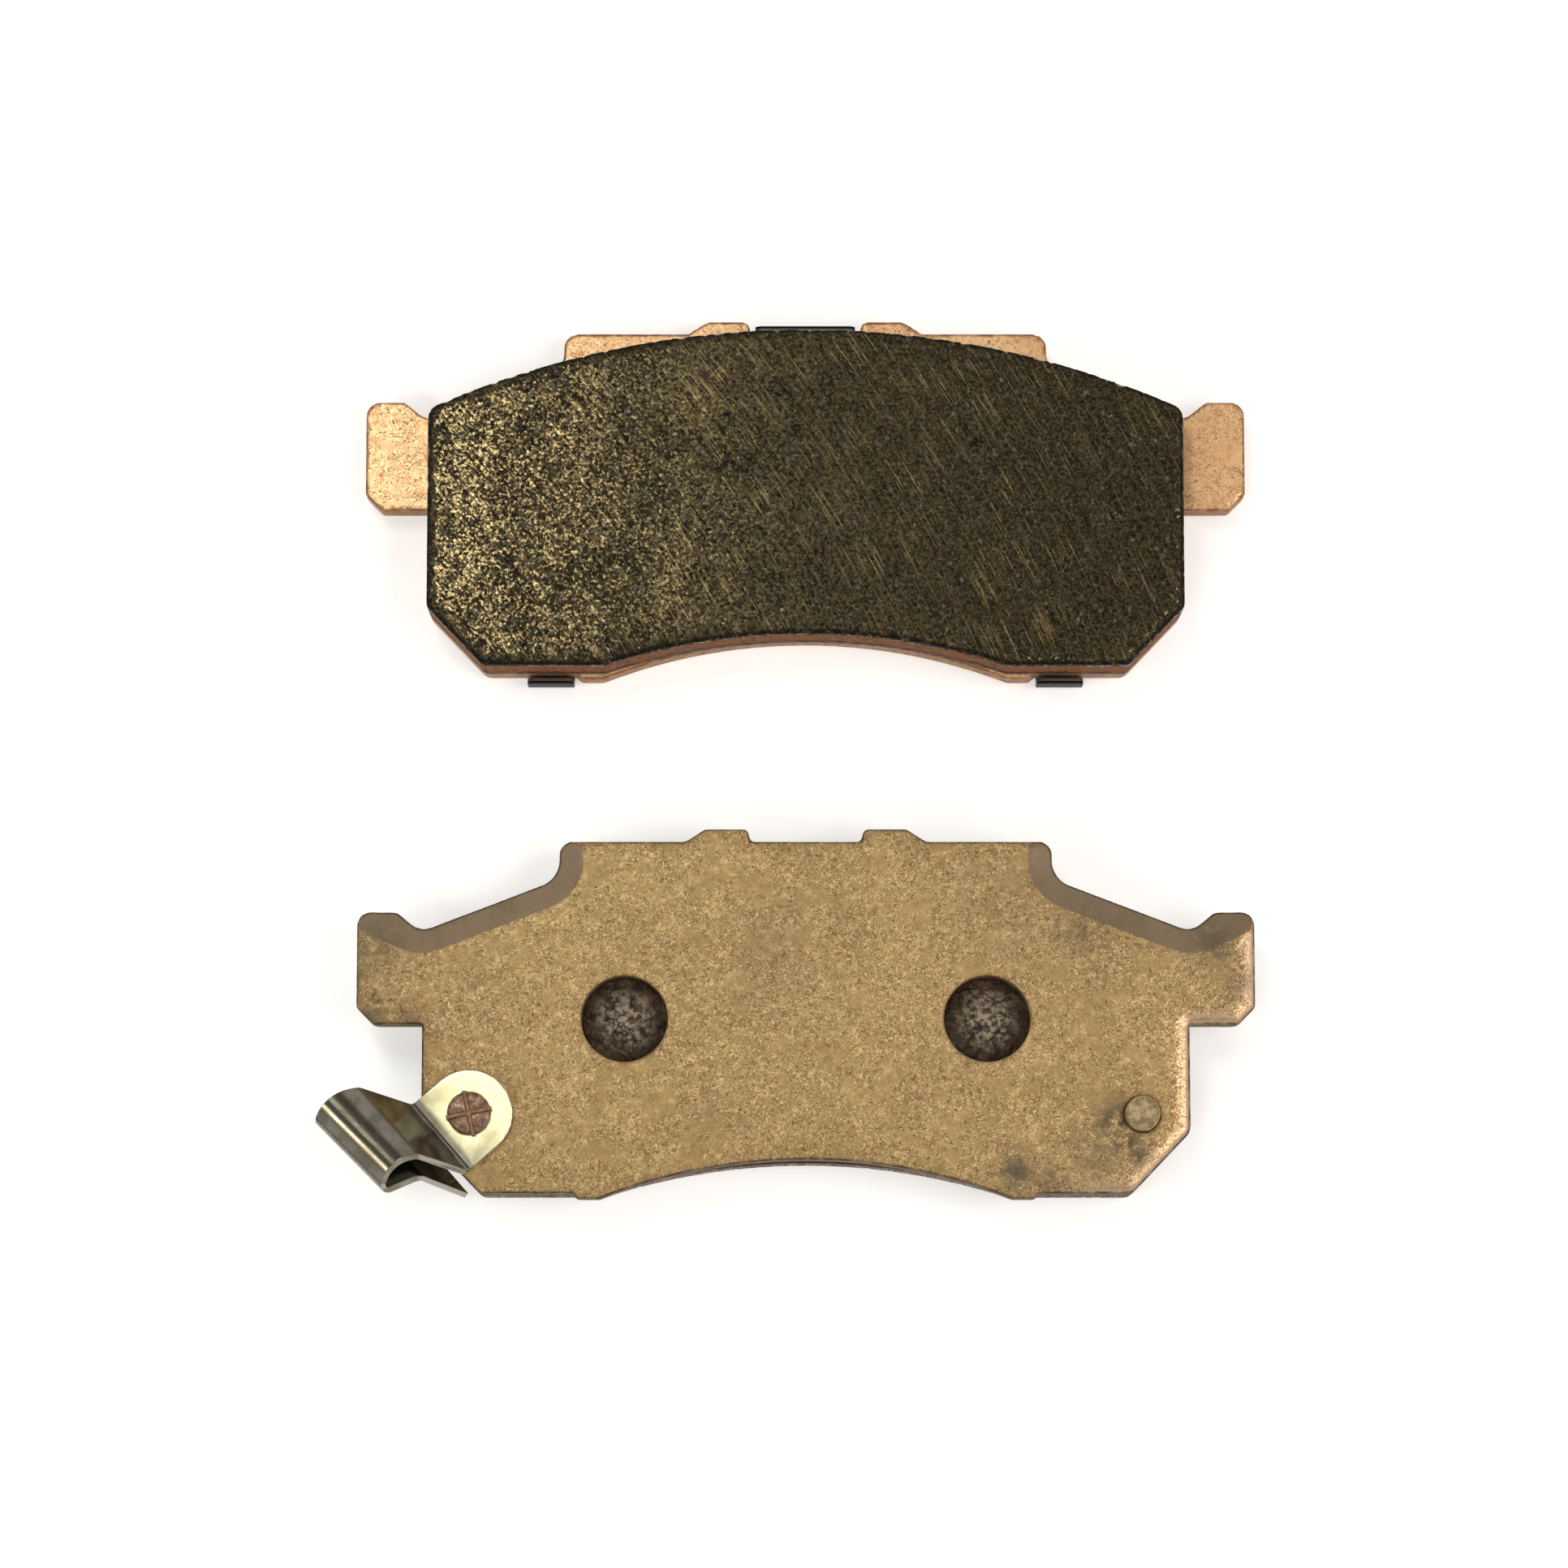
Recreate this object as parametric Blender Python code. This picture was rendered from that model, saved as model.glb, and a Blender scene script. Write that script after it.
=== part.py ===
"""A set of two disc brake pads, laid flat beside each other.

The inner pad lies on its friction face and shows its back, with a wear indicator riveted to one corner.
The outer pad lies on its back and shows its friction face, with a sheet-metal shim clipped on behind.
Both use the same stamped backing plate. Lengths are in metres and +Z points up.

A pad is modelled in its own frame: x from its centre line, y from the flat part of its lower edge,
z from its friction face towards its back.
"""

import math

import bmesh
import bpy
from mathutils import Matrix, Vector

# Set
PAD_SPACING = 0.0755
FACE_CENTRE_Y = 0.0270

# Backing plate
PLATE_THICKNESS = 0.0050
BODY_WIDTH = 0.1092
EAR_LENGTH = 0.0094
EAR_HEIGHT = 0.0161
EAR_BOTTOM_Y = 0.0240
EAR_CHAMFER = 0.0024
NOTCH_OFFSET = 0.0004
NOTCH_DEPTH = 0.0028
NOTCH_FLANK = 0.0034
CORNER_CHAMFER_X = 0.0083
CORNER_CHAMFER_Y = 0.0087
SHOULDER_INSET = 0.0194
SLOPE_ANGLE = math.radians(21.0)
TOP_EDGE_Y = 0.0502
LUG_HEIGHT = 0.0018
LUG_INNER_X = 0.0079
LUG_TOP_WIDTH = 0.0061
LUG_INNER_DRAFT = 0.0004
LUG_OUTER_DRAFT = 0.0028
FOOT_INNER_X = 0.0293
FOOT_WIDTH = 0.0033
FOOT_DROP = 0.00075
FOOT_DRAFT = 0.0004
ARCH_RISE = 0.0048

# Corner radii of the plate
LUG_RADIUS = 0.0008
SHOULDER_RADIUS = 0.0019
SLOPE_ROOT_RADIUS = 0.0038
NOTCH_RADIUS = 0.0030
EAR_INNER_RADIUS = 0.0013
EAR_OUTER_RADIUS = 0.0020
EAR_CHAMFER_RADIUS = 0.0010
CORNER_CHAMFER_RADIUS = 0.0020
FOOT_RADIUS = 0.0007
ROOT_RADIUS = 0.0003

# Rounded rim that stamping leaves round the back face
ROLL_WIDTH = 0.0006
ROLL_DEPTH = 0.0005
ROLL_STEPS = 3

# Coined bevel along the slopes, notches and ear tops of the back face
BEVEL_WIDTH = 0.0036
BEVEL_DEPTH = 0.0011
BEVEL_RADIUS = 0.0072
BEVEL_EXIT_DROP = 0.0026
BEVEL_REACH = 0.0062

# Moulding holes, filled from the friction side by plugs of the underlayer
HOLE_X = 0.0258
HOLE_Y = 0.0248
HOLE_DIAMETER = 0.0123
PLUG_RECESS = 0.0035

# Friction material
FRICTION_THICKNESS = 0.0070
UNDERLAYER_THICKNESS = 0.0015
FRICTION_INSET = 0.0001
FRICTION_TOP_INSET = 0.0010
FRICTION_TOP_RADIUS = 0.1330
FRICTION_CORNER_RADIUS = 0.0022
FRICTION_CHAMFER_RADIUS = 0.0012
FRICTION_ARCH_HALF_WIDTH = 0.0290
FRICTION_ARCH_RISE = 0.0046
FRICTION_EDGE = 0.0004

# Studs that stand out of the inner pad's back
STUD_INSET = 0.0069
STUD_Y = 0.0112
STUD_DIAMETER = 0.0050
STUD_HEIGHT = 0.0018
STUD_EDGE = 0.0003
RIVET_HEAD_DIAMETER = 0.0062
RIVET_HEAD_HEIGHT = 0.0009
RIVET_HEAD_DOME = 0.0004
RIVET_SHOULDER = 0.00046
RIVET_SHOULDER_RISE = 0.00028
RIVET_FLAT_DIAMETER = 0.0031
STAKE_LENGTH = 0.0066
STAKE_WIDTH = 0.0007
STAKE_RISE = 0.0004
STAKE_DRAFT = 0.0001
STAKE_ANGLE = math.radians(12.0)

# Wear indicator: a strip bent along a path in the upright plane through its rivet
INDICATOR_TURN = math.radians(-3.1)
INDICATOR_WIDTH = 0.0123
INDICATOR_FLARE = 0.0009
INDICATOR_FAN = math.radians(4.6)
INDICATOR_THICKNESS = 0.0009
INDICATOR_SETBACK = 0.0010
INDICATOR_BEND_RADIUS = 0.0014
WEB_RUN = 0.0038
WEB_RISE = 0.0081
WEB_TOP_RADIUS = 0.0015
CROWN_RUN = 0.0036
CROWN_RISE = 0.0026
CROWN_RADIUS = 0.0048
NOSE_RUN = 0.0041
NOSE_FALL = 0.0031
NOSE_RADIUS = 0.0011
RETURN_RUN = 0.0059
RETURN_FALL = 0.0025
ELBOW_RADIUS = 0.0018
LEG_RUN = 0.0034
LEG_REACH = 0.0023
LOOP_LEAN = 0.70
LEG_LEAN = 0.41

# Shim
SHIM_THICKNESS = 0.0008
SHIM_INSET = 0.0022
SHIM_RADIUS = 0.0025
SHIM_BEND_RADIUS = 0.0009
TOP_LEG_WIDTH = 0.0146
LOWER_LEG_WIDTH = 0.0067
LEG_END_MARGIN = 0.0003
LEG_CORNER_RADIUS = 0.0010

# Clearances
BOND_GAP = 0.0001
SEAT_GAP = 0.0002
BORE_GAP = 0.0001
LEG_GAP = 0.0005
LUG_GAP = 0.0006

# Smoothness of round stretches, and the share of an edge that the arcs at its ends may take up
ARC_STEP = math.radians(12.0)
ARC_ROOM = 0.96
SHORTEST_TANGENT = 1e-7
LEAST_MITRE = 0.5
SHARP_ANGLE = math.radians(35.0)
ARCH_STEPS = 14
CROWN_STEPS = 20
ROUND_STEPS = 32
CUT_MARGIN = 0.0010

HALF_BODY = BODY_WIDTH / 2
HALF_SPAN = HALF_BODY + EAR_LENGTH
EAR_TOP_Y = EAR_BOTTOM_Y + EAR_HEIGHT
NOTCH_X = HALF_BODY + NOTCH_OFFSET
NOTCH_Y = EAR_TOP_Y - NOTCH_DEPTH
SHOULDER_X = HALF_BODY - SHOULDER_INSET
STUD_X = HALF_BODY - STUD_INSET
UNDERLAYER_Z = FRICTION_THICKNESS + BOND_GAP
FRONT_Z = UNDERLAYER_Z + UNDERLAYER_THICKNESS + BOND_GAP
BACK_Z = FRONT_Z + PLATE_THICKNESS
SHIM_Z = BACK_Z + SEAT_GAP
OUTER_HEIGHT = SHIM_Z + SHIM_THICKNESS

COLOURS = {
    "inner_plate_coat": ((0.41, 0.27, 0.11), 0.45, 0.6),
    "outer_plate_coat": ((0.62, 0.36, 0.14), 0.40, 0.7),
    "lining": ((0.045, 0.038, 0.024), 0.75, 0.1),
    "underlayer": ((0.10, 0.07, 0.05), 0.90, 0.0),
    "spring_steel": ((0.42, 0.40, 0.28), 0.25, 1.0),
    "rivet_coat": ((0.22, 0.11, 0.06), 0.45, 0.6),
    "shim_coat": ((0.02, 0.02, 0.022), 0.55, 0.0),
}


# Outlines


def rounded(corners, closed=True):
    """Points of the outline through corners (x, y, radius), with an arc at each corner."""
    count = len(corners)
    places = [Vector((x, y)) for x, y, _ in corners]
    turns = []
    for index, place in enumerate(places):
        before = places[index - 1] - place
        after = places[(index + 1) % count] - place
        is_end = not closed and index in (0, count - 1)
        turns.append(0.0 if is_end else math.pi - before.angle(after))
    tangents = [corner[2] * math.tan(turn / 2) for corner, turn in zip(corners, turns)]
    for index in range(count):
        after = (index + 1) % count
        room = ARC_ROOM * (places[after] - places[index]).length
        share = min(1.0, room / max(room, tangents[index] + tangents[after]))
        tangents[index] *= share
        tangents[after] *= share
    points = []
    for index, corner in enumerate(places):
        tangent = tangents[index]
        if tangent < SHORTEST_TANGENT:
            points.append(corner)
            continue
        before = (places[index - 1] - corner).normalized()
        after = (places[(index + 1) % count] - corner).normalized()
        reach = tangent / math.tan(turns[index] / 2)
        centre = corner + (before + after).normalized() * math.hypot(reach, tangent)
        start = corner + before * tangent - centre
        swing = start.angle_signed(corner + after * tangent - centre)
        steps = max(2, math.ceil(turns[index] / ARC_STEP))
        for step in range(steps + 1):
            points.append(centre + Matrix.Rotation(-swing * step / steps, 2) @ start)
    return points


def both_sides(half):
    """The closed list of corners made of the right half and its mirror image."""
    left = [(-x, y, radius) for x, y, radius in reversed(half) if x > 0.0]
    return half + left


def arch(half_width, low_y, rise, steps):
    """Corners of an arc from the centre line out to half_width, low_y, rising at the centre."""
    radius = (half_width**2 + rise**2) / (2 * rise)
    centre_y = low_y + rise - radius
    sweep = math.asin(half_width / radius)
    angles = [sweep * step / steps for step in range(steps + 1)]
    return [(radius * math.sin(a), centre_y + radius * math.cos(a), 0.0) for a in angles]


def slope_y(x, drop=0.0):
    """Height of the plate's upper slope at x, or of a line that lies drop inside it."""
    return NOTCH_Y + (NOTCH_X - x) * math.tan(SLOPE_ANGLE) - drop / math.cos(SLOPE_ANGLE)


def plate_outline():
    """The stamping's outline, from the middle of the lower edge round to the middle of the top."""
    foot_outer_x = FOOT_INNER_X + FOOT_WIDTH
    lug_top_y = TOP_EDGE_Y + LUG_HEIGHT
    lug_inner_top_x = LUG_INNER_X + LUG_INNER_DRAFT
    lug_outer_top_x = lug_inner_top_x + LUG_TOP_WIDTH
    half = arch(FOOT_INNER_X, -FOOT_DROP, ARCH_RISE + FOOT_DROP, ARCH_STEPS)
    half[-1] = (FOOT_INNER_X, -FOOT_DROP, FOOT_RADIUS)
    half += [
        (foot_outer_x, -FOOT_DROP, FOOT_RADIUS),
        (foot_outer_x + FOOT_DRAFT, 0.0, ROOT_RADIUS),
        (HALF_BODY - CORNER_CHAMFER_X, 0.0, CORNER_CHAMFER_RADIUS),
        (HALF_BODY, CORNER_CHAMFER_Y, CORNER_CHAMFER_RADIUS),
        (HALF_BODY, EAR_BOTTOM_Y, ROOT_RADIUS),
        (HALF_SPAN - EAR_CHAMFER, EAR_BOTTOM_Y, EAR_CHAMFER_RADIUS),
        (HALF_SPAN, EAR_BOTTOM_Y + EAR_CHAMFER, EAR_CHAMFER_RADIUS),
        (HALF_SPAN, EAR_TOP_Y, EAR_OUTER_RADIUS),
        (NOTCH_X + NOTCH_FLANK, EAR_TOP_Y, EAR_INNER_RADIUS),
        (NOTCH_X, NOTCH_Y, NOTCH_RADIUS),
        (SHOULDER_X, slope_y(SHOULDER_X), SLOPE_ROOT_RADIUS),
        (SHOULDER_X, TOP_EDGE_Y, SHOULDER_RADIUS),
        (lug_outer_top_x + LUG_OUTER_DRAFT, TOP_EDGE_Y, LUG_RADIUS),
        (lug_outer_top_x, lug_top_y, LUG_RADIUS),
        (lug_inner_top_x, lug_top_y, LUG_RADIUS),
        (LUG_INNER_X, TOP_EDGE_Y, ROOT_RADIUS),
    ]
    return rounded(both_sides(half))


def friction_outline():
    """The lining's outline: a long arc on top, chamfered lower corners and an arched lower edge."""
    half_width = HALF_BODY - FRICTION_INSET
    chamfer_x = CORNER_CHAMFER_X - FRICTION_INSET
    chamfer_y = CORNER_CHAMFER_Y - FRICTION_INSET
    top_y = TOP_EDGE_Y - FRICTION_TOP_INSET
    top_drop = FRICTION_TOP_RADIUS - math.sqrt(FRICTION_TOP_RADIUS**2 - half_width**2)
    top = arch(half_width, top_y - top_drop, top_drop, CROWN_STEPS)
    top[-1] = (*top[-1][:2], FRICTION_CORNER_RADIUS)
    top[-2:-1] = []
    half = arch(FRICTION_ARCH_HALF_WIDTH, 0.0, FRICTION_ARCH_RISE, ARCH_STEPS)
    half += [
        (half_width - chamfer_x, 0.0, FRICTION_CHAMFER_RADIUS),
        (half_width, chamfer_y, FRICTION_CHAMFER_RADIUS),
    ]
    half += reversed(top)
    return rounded(both_sides(half))


def inset(points, distance):
    """The outline moved inwards by distance, corner by corner."""
    moved = []
    count = len(points)
    for index, point in enumerate(points):
        into = (point - points[index - 1]).normalized()
        out = (points[(index + 1) % count] - point).normalized()
        along = (into + out).normalized()
        stretch = 1.0 / max(LEAST_MITRE, along.dot(out))
        moved.append(point + Vector((-along.y, along.x)) * distance * stretch)
    return moved


# Solids


def material(name):
    """The plain finish of one kind of surface."""
    colour, roughness, metallic = COLOURS[name]
    made = bpy.data.materials.get(name) or bpy.data.materials.new(name)
    made.use_nodes = True
    shader = made.node_tree.nodes["Principled BSDF"]
    shader.inputs["Base Color"].default_value = (*colour, 1.0)
    shader.inputs["Roughness"].default_value = roughness
    shader.inputs["Metallic"].default_value = metallic
    return made


def add_object(name, bm, parent, finish=None):
    """An object made of the given mesh, or a hidden guide shape if it has no finish."""
    bmesh.ops.recalc_face_normals(bm, faces=bm.faces)
    mesh = bpy.data.meshes.new(name)
    bm.to_mesh(mesh)
    bm.free()
    made = bpy.data.objects.new(name, mesh)
    bpy.context.scene.collection.objects.link(made)
    made.parent = parent
    if finish:
        mesh.materials.append(material(finish))
        mesh.shade_smooth()
        mesh.set_sharp_from_angle(angle=SHARP_ANGLE)
    else:
        made.hide_render = True
        made.display_type = "WIRE"
    return made


def frame(name, location, parent=None, turn_y=0.0):
    """An empty that carries the pieces of one body."""
    made = bpy.data.objects.new(name, None)
    bpy.context.scene.collection.objects.link(made)
    made.parent = parent
    made.location = location
    made.rotation_euler = (0.0, turn_y, 0.0)
    return made


def stack(rings):
    """A closed solid through rings of equally many points, each ring (points, z)."""
    bm = bmesh.new()
    levels = [[bm.verts.new((p.x, p.y, z)) for p in points] for points, z in rings]
    bm.faces.new(reversed(levels[0]))
    bm.faces.new(levels[-1])
    count = len(levels[0])
    for low, high in zip(levels, levels[1:]):
        for index in range(count):
            after = (index + 1) % count
            bm.faces.new((low[index], low[after], high[after], high[index]))
    return bm


def turned(profile, x=0.0, y=0.0):
    """A solid of revolution round an upright axis, from a profile of (radius, z)."""
    rings = []
    for radius, z in profile:
        angles = [math.tau * step / ROUND_STEPS for step in range(ROUND_STEPS)]
        ring = [Vector((x + radius * math.cos(a), y + radius * math.sin(a))) for a in angles]
        rings.append((ring, z))
    return stack(rings)


def combine(target, operand, operation):
    """Cuts the operand out of the target, or joins it on."""
    modifier = target.modifiers.new(operand.name, "BOOLEAN")
    modifier.operation = operation
    modifier.solver = "EXACT"
    modifier.object = operand


def bore(target, name, x, y, diameter, low_z, high_z):
    """Drills an upright hole through the target between two heights."""
    ends = [(diameter / 2, low_z - CUT_MARGIN), (diameter / 2, high_z + CUT_MARGIN)]
    combine(target, add_object(name, turned(ends, x, y), target.parent), "DIFFERENCE")


def bevel_cutter(side):
    """A wedge along one side's slope, notch and ear top, as deep as the coined bevel."""
    inner_x = SHOULDER_X - BEVEL_WIDTH
    exit_y = EAR_TOP_Y - BEVEL_EXIT_DROP
    notch_y = slope_y(NOTCH_X, BEVEL_WIDTH)
    overrun = (exit_y - notch_y) / (HALF_SPAN - NOTCH_X) * BEVEL_WIDTH
    line = [
        (inner_x, TOP_EDGE_Y + BEVEL_WIDTH, 0.0),
        (inner_x, slope_y(inner_x, BEVEL_WIDTH), BEVEL_RADIUS),
        (NOTCH_X, notch_y, BEVEL_RADIUS),
        (HALF_SPAN + BEVEL_WIDTH, exit_y + overrun, 0.0),
    ]
    path = rounded(line, closed=False)
    pitch = BEVEL_DEPTH / BEVEL_WIDTH
    lift = CUT_MARGIN
    bm = bmesh.new()
    sections = []
    for index, point in enumerate(path):
        before = path[max(index - 1, 0)]
        after = path[min(index + 1, len(path) - 1)]
        along = (after - before).normalized()
        outward = Vector((-along.y, along.x))
        corners = [
            (-lift / pitch, BACK_Z + lift),
            (BEVEL_REACH, BACK_Z - BEVEL_REACH * pitch),
            (BEVEL_REACH, BACK_Z + lift),
        ]
        places = [(point + outward * distance, z) for distance, z in corners]
        sections.append([bm.verts.new((side * p.x, p.y, z)) for p, z in places])
    bm.faces.new(sections[0])
    bm.faces.new(sections[-1])
    count = len(corners)
    for section, following in zip(sections, sections[1:]):
        for index in range(count):
            after = (index + 1) % count
            bm.faces.new((section[index], section[after], following[after], following[index]))
    return bm


# Pieces


def backing_plate(name, parent, finish):
    """The stamped plate, with its rolled rim, coined bevels and moulding holes."""
    outline = plate_outline()
    rings = [(outline, FRONT_Z)]
    for step in range(ROLL_STEPS + 1):
        angle = math.pi / 2 * step / ROLL_STEPS
        inward = ROLL_WIDTH * (1.0 - math.cos(angle))
        height = BACK_Z - ROLL_DEPTH * (1.0 - math.sin(angle))
        rings.append((inset(outline, inward), height))
    plate = add_object(name, stack(rings), parent, finish)
    for side, word in ((-1, "left"), (1, "right")):
        cutter = add_object(f"{name}_{word}_bevel_cut", bevel_cutter(side), parent)
        combine(plate, cutter, "DIFFERENCE")
        hole_name = f"{name}_{word}_hole_cut"
        bore(plate, hole_name, side * HOLE_X, HOLE_Y, HOLE_DIAMETER, FRONT_Z, BACK_Z)
    return plate


def underlayer(name, parent):
    """The bonding layer under the lining, with the plugs that it sends into the plate's holes."""
    outline = friction_outline()
    top_z = UNDERLAYER_Z + UNDERLAYER_THICKNESS
    layer = add_object(name, stack([(outline, UNDERLAYER_Z), (outline, top_z)]), parent, "underlayer")
    radius = HOLE_DIAMETER / 2 - BORE_GAP
    middle_z = UNDERLAYER_Z + UNDERLAYER_THICKNESS / 2
    for side, word in ((-1, "left"), (1, "right")):
        plug = turned([(radius, middle_z), (radius, BACK_Z - PLUG_RECESS)], side * HOLE_X, HOLE_Y)
        combine(layer, add_object(f"{name}_{word}_plug", plug, parent), "UNION")
    return layer


def friction_block(name, parent):
    """The lining, with a narrow broken edge round its rubbing face."""
    outline = friction_outline()
    rings = [
        (inset(outline, FRICTION_EDGE), 0.0),
        (outline, FRICTION_EDGE),
        (outline, FRICTION_THICKNESS),
    ]
    return add_object(name, stack(rings), parent, "lining")


def spare_stud(parent):
    """The plain stud, pressed through the plate and standing out of its back."""
    radius = STUD_DIAMETER / 2
    top_z = BACK_Z + STUD_HEIGHT
    profile = [
        (radius, FRONT_Z),
        (radius, top_z - STUD_EDGE),
        (radius - STUD_EDGE, top_z),
    ]
    return add_object("spare_stud", turned(profile, STUD_X, STUD_Y), parent, "inner_plate_coat")


def indicator_rivet(parent):
    """The stud that holds the indicator, spread over its tab and staked with a cross."""
    shank = STUD_DIAMETER / 2
    head = RIVET_HEAD_DIAMETER / 2
    seat_z = BACK_Z + 2 * SEAT_GAP + INDICATOR_THICKNESS
    rim_z = seat_z + RIVET_HEAD_HEIGHT - RIVET_HEAD_DOME
    crown_z = seat_z + RIVET_HEAD_HEIGHT
    profile = [
        (shank, FRONT_Z),
        (shank, seat_z),
        (head, seat_z),
        (head, rim_z),
        (head - RIVET_SHOULDER, rim_z + RIVET_SHOULDER_RISE),
        (RIVET_FLAT_DIAMETER / 2, crown_z),
    ]
    rivet = add_object(
        "wear_indicator_rivet", turned(profile, -STUD_X, STUD_Y), parent, "rivet_coat"
    )
    low_z = seat_z + (RIVET_HEAD_HEIGHT - RIVET_HEAD_DOME) / 2
    high_z = crown_z + STAKE_RISE
    for quarter in range(2):
        turn = Matrix.Rotation(STAKE_ANGLE + quarter * math.pi / 2, 2)
        rings = []
        for z, draft in ((low_z, 0.0), (high_z, STAKE_DRAFT)):
            half_length = STAKE_LENGTH / 2 - draft
            half_width = STAKE_WIDTH / 2 - draft
            corners = [(-1, -1), (1, -1), (1, 1), (-1, 1)]
            ring = [turn @ Vector((u * half_length, v * half_width)) for u, v in corners]
            rings.append(([p + Vector((-STUD_X, STUD_Y)) for p in ring], z))
        combine(rivet, add_object(f"rivet_stake_{quarter}", stack(rings), parent), "UNION")
    return rivet


def indicator_path():
    """Corners (run, height, radius) of the strip's middle line, from its rivet to its tip."""
    edge = math.hypot(CORNER_CHAMFER_X, CORNER_CHAMFER_Y)
    to_side = STUD_INSET * CORNER_CHAMFER_Y + (STUD_Y - CORNER_CHAMFER_Y) * CORNER_CHAMFER_X
    tab_length = to_side / edge - INDICATOR_SETBACK
    tip_height = FRONT_Z - LEG_REACH - indicator_tab_z()
    moves = [
        (tab_length, 0.0, INDICATOR_BEND_RADIUS),
        (WEB_RUN, WEB_RISE, WEB_TOP_RADIUS),
        (CROWN_RUN, CROWN_RISE, CROWN_RADIUS),
        (NOSE_RUN, -NOSE_FALL, NOSE_RADIUS),
        (-RETURN_RUN, -RETURN_FALL, ELBOW_RADIUS),
    ]
    run, height = 0.0, 0.0
    corners = [(run, height, 0.0)]
    for step_run, step_height, radius in moves:
        run += step_run
        height += step_height
        corners.append((run, height, radius))
    corners.append((run - LEG_RUN, tip_height, 0.0))
    return corners


def indicator_tab_z():
    """Height of the middle of the indicator's tab, which lies on the plate's back."""
    return BACK_Z + SEAT_GAP + INDICATOR_THICKNESS / 2


def wear_indicator(parent):
    """The indicator, bent from a flat strip with one round end.

    Its loop leans along its width, widens a little towards its nose and fans out from the tab's bend.
    """
    corners = indicator_path()
    _, tab_end, _, _, nose, elbow, _ = [Vector(corner[:2]) for corner in corners]
    path = rounded(corners, closed=False)
    lengths = [0.0]
    for start, end in zip(path, path[1:]):
        lengths.append(lengths[-1] + (end - start).length)
    bend_start = next(length for length in lengths if length > 0.0)
    lean_end = bend_start + INDICATOR_BEND_RADIUS
    elbow_at = min(range(len(path)), key=lambda i: (path[i] - elbow).length)

    half_width = INDICATOR_WIDTH / 2
    angles = [math.pi / 2 + math.pi * step / (ROUND_STEPS // 2) for step in range(ROUND_STEPS // 2 + 1)]
    blank = [Vector((half_width * math.cos(a), half_width * math.sin(a))) for a in angles]
    blank += [Vector((lengths[-1], -half_width)), Vector((lengths[-1], half_width))]
    bm = stack([(blank, -INDICATOR_THICKNESS / 2), (blank, INDICATOR_THICKNESS / 2)])
    for length in lengths[1:-1]:
        geometry = bm.verts[:] + bm.edges[:] + bm.faces[:]
        bmesh.ops.bisect_plane(bm, geom=geometry, plane_co=(length, 0.0, 0.0), plane_no=(1.0, 0.0, 0.0))

    heading = math.pi + math.atan2(CORNER_CHAMFER_X, CORNER_CHAMFER_Y) + INDICATOR_TURN
    outward = Vector((math.cos(heading), math.sin(heading), 0.0))
    across = Vector((-outward.y, outward.x, 0.0))
    seat = Vector((-STUD_X, STUD_Y, indicator_tab_z()))
    for vert in bm.verts:
        length, width, depth = vert.co
        run, height, shift, spread = length, depth, 0.0, 0.0
        if length > bend_start:
            index = min(range(len(lengths)), key=lambda i: abs(lengths[i] - length))
            before = (path[index] - path[index - 1]).normalized()
            after = (path[min(index + 1, len(path) - 1)] - path[index]).normalized()
            along = (before + after).normalized()
            mitre = 1.0 / along.dot(before)
            place = path[index] + Vector((-along.y, along.x)) * depth * mitre
            run, height = place
            lean = LOOP_LEAN * min(1.0, (length - bend_start) / (lean_end - bend_start))
            shift = -lean * height
            if index > elbow_at:
                shift = -LOOP_LEAN * elbow.y - LEG_LEAN * (height - elbow.y)
            spread = max(0.0, (run - tab_end.x) / (nose.x - tab_end.x))
        wide = width * (1.0 + spread * INDICATOR_FLARE / INDICATOR_WIDTH)
        fanned = Matrix.Rotation(spread * INDICATOR_FAN, 3, "Z") @ across
        vert.co = seat + outward * run + across * shift + fanned * wide + Vector((0.0, 0.0, height))
    strip = add_object("wear_indicator", bm, parent, "spring_steel")
    hole_name = "wear_indicator_hole_cut"
    hole_diameter = STUD_DIAMETER + 2 * BORE_GAP
    bore(strip, hole_name, -STUD_X, STUD_Y, hole_diameter, BACK_Z, BACK_Z + INDICATOR_THICKNESS)
    return strip


def shim_corners(leg_length):
    """Corners of the shim's flat blank, legs included, from the lower middle to the top middle."""
    flat_x = SHOULDER_X - BEVEL_WIDTH
    leg_inner_x = FOOT_INNER_X + FOOT_WIDTH + FOOT_DRAFT + LUG_GAP
    leg_outer_x = leg_inner_x + LOWER_LEG_WIDTH
    half_top_leg = TOP_LEG_WIDTH / 2
    top_y = TOP_EDGE_Y - SHIM_INSET
    side_x = HALF_BODY - SHIM_INSET
    half = arch(FOOT_INNER_X, SHIM_INSET, ARCH_RISE, ARCH_STEPS)
    half += [
        (leg_inner_x, SHIM_INSET, 0.0),
        (leg_inner_x, -leg_length, LEG_CORNER_RADIUS),
        (leg_outer_x, -leg_length, LEG_CORNER_RADIUS),
        (leg_outer_x, SHIM_INSET, 0.0),
        (HALF_BODY - CORNER_CHAMFER_X - SHIM_INSET / 2, SHIM_INSET, SHIM_RADIUS),
        (side_x, CORNER_CHAMFER_Y + SHIM_INSET / 2, SHIM_RADIUS),
        (side_x, slope_y(side_x, BEVEL_WIDTH + SHIM_INSET / 2), SHIM_RADIUS),
        (flat_x, slope_y(flat_x, BEVEL_WIDTH + SHIM_INSET / 2), SHIM_RADIUS),
        (flat_x, top_y, SHIM_RADIUS),
        (half_top_leg, top_y, 0.0),
        (half_top_leg, TOP_EDGE_Y + leg_length, LEG_CORNER_RADIUS),
    ]
    return both_sides(half)


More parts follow.
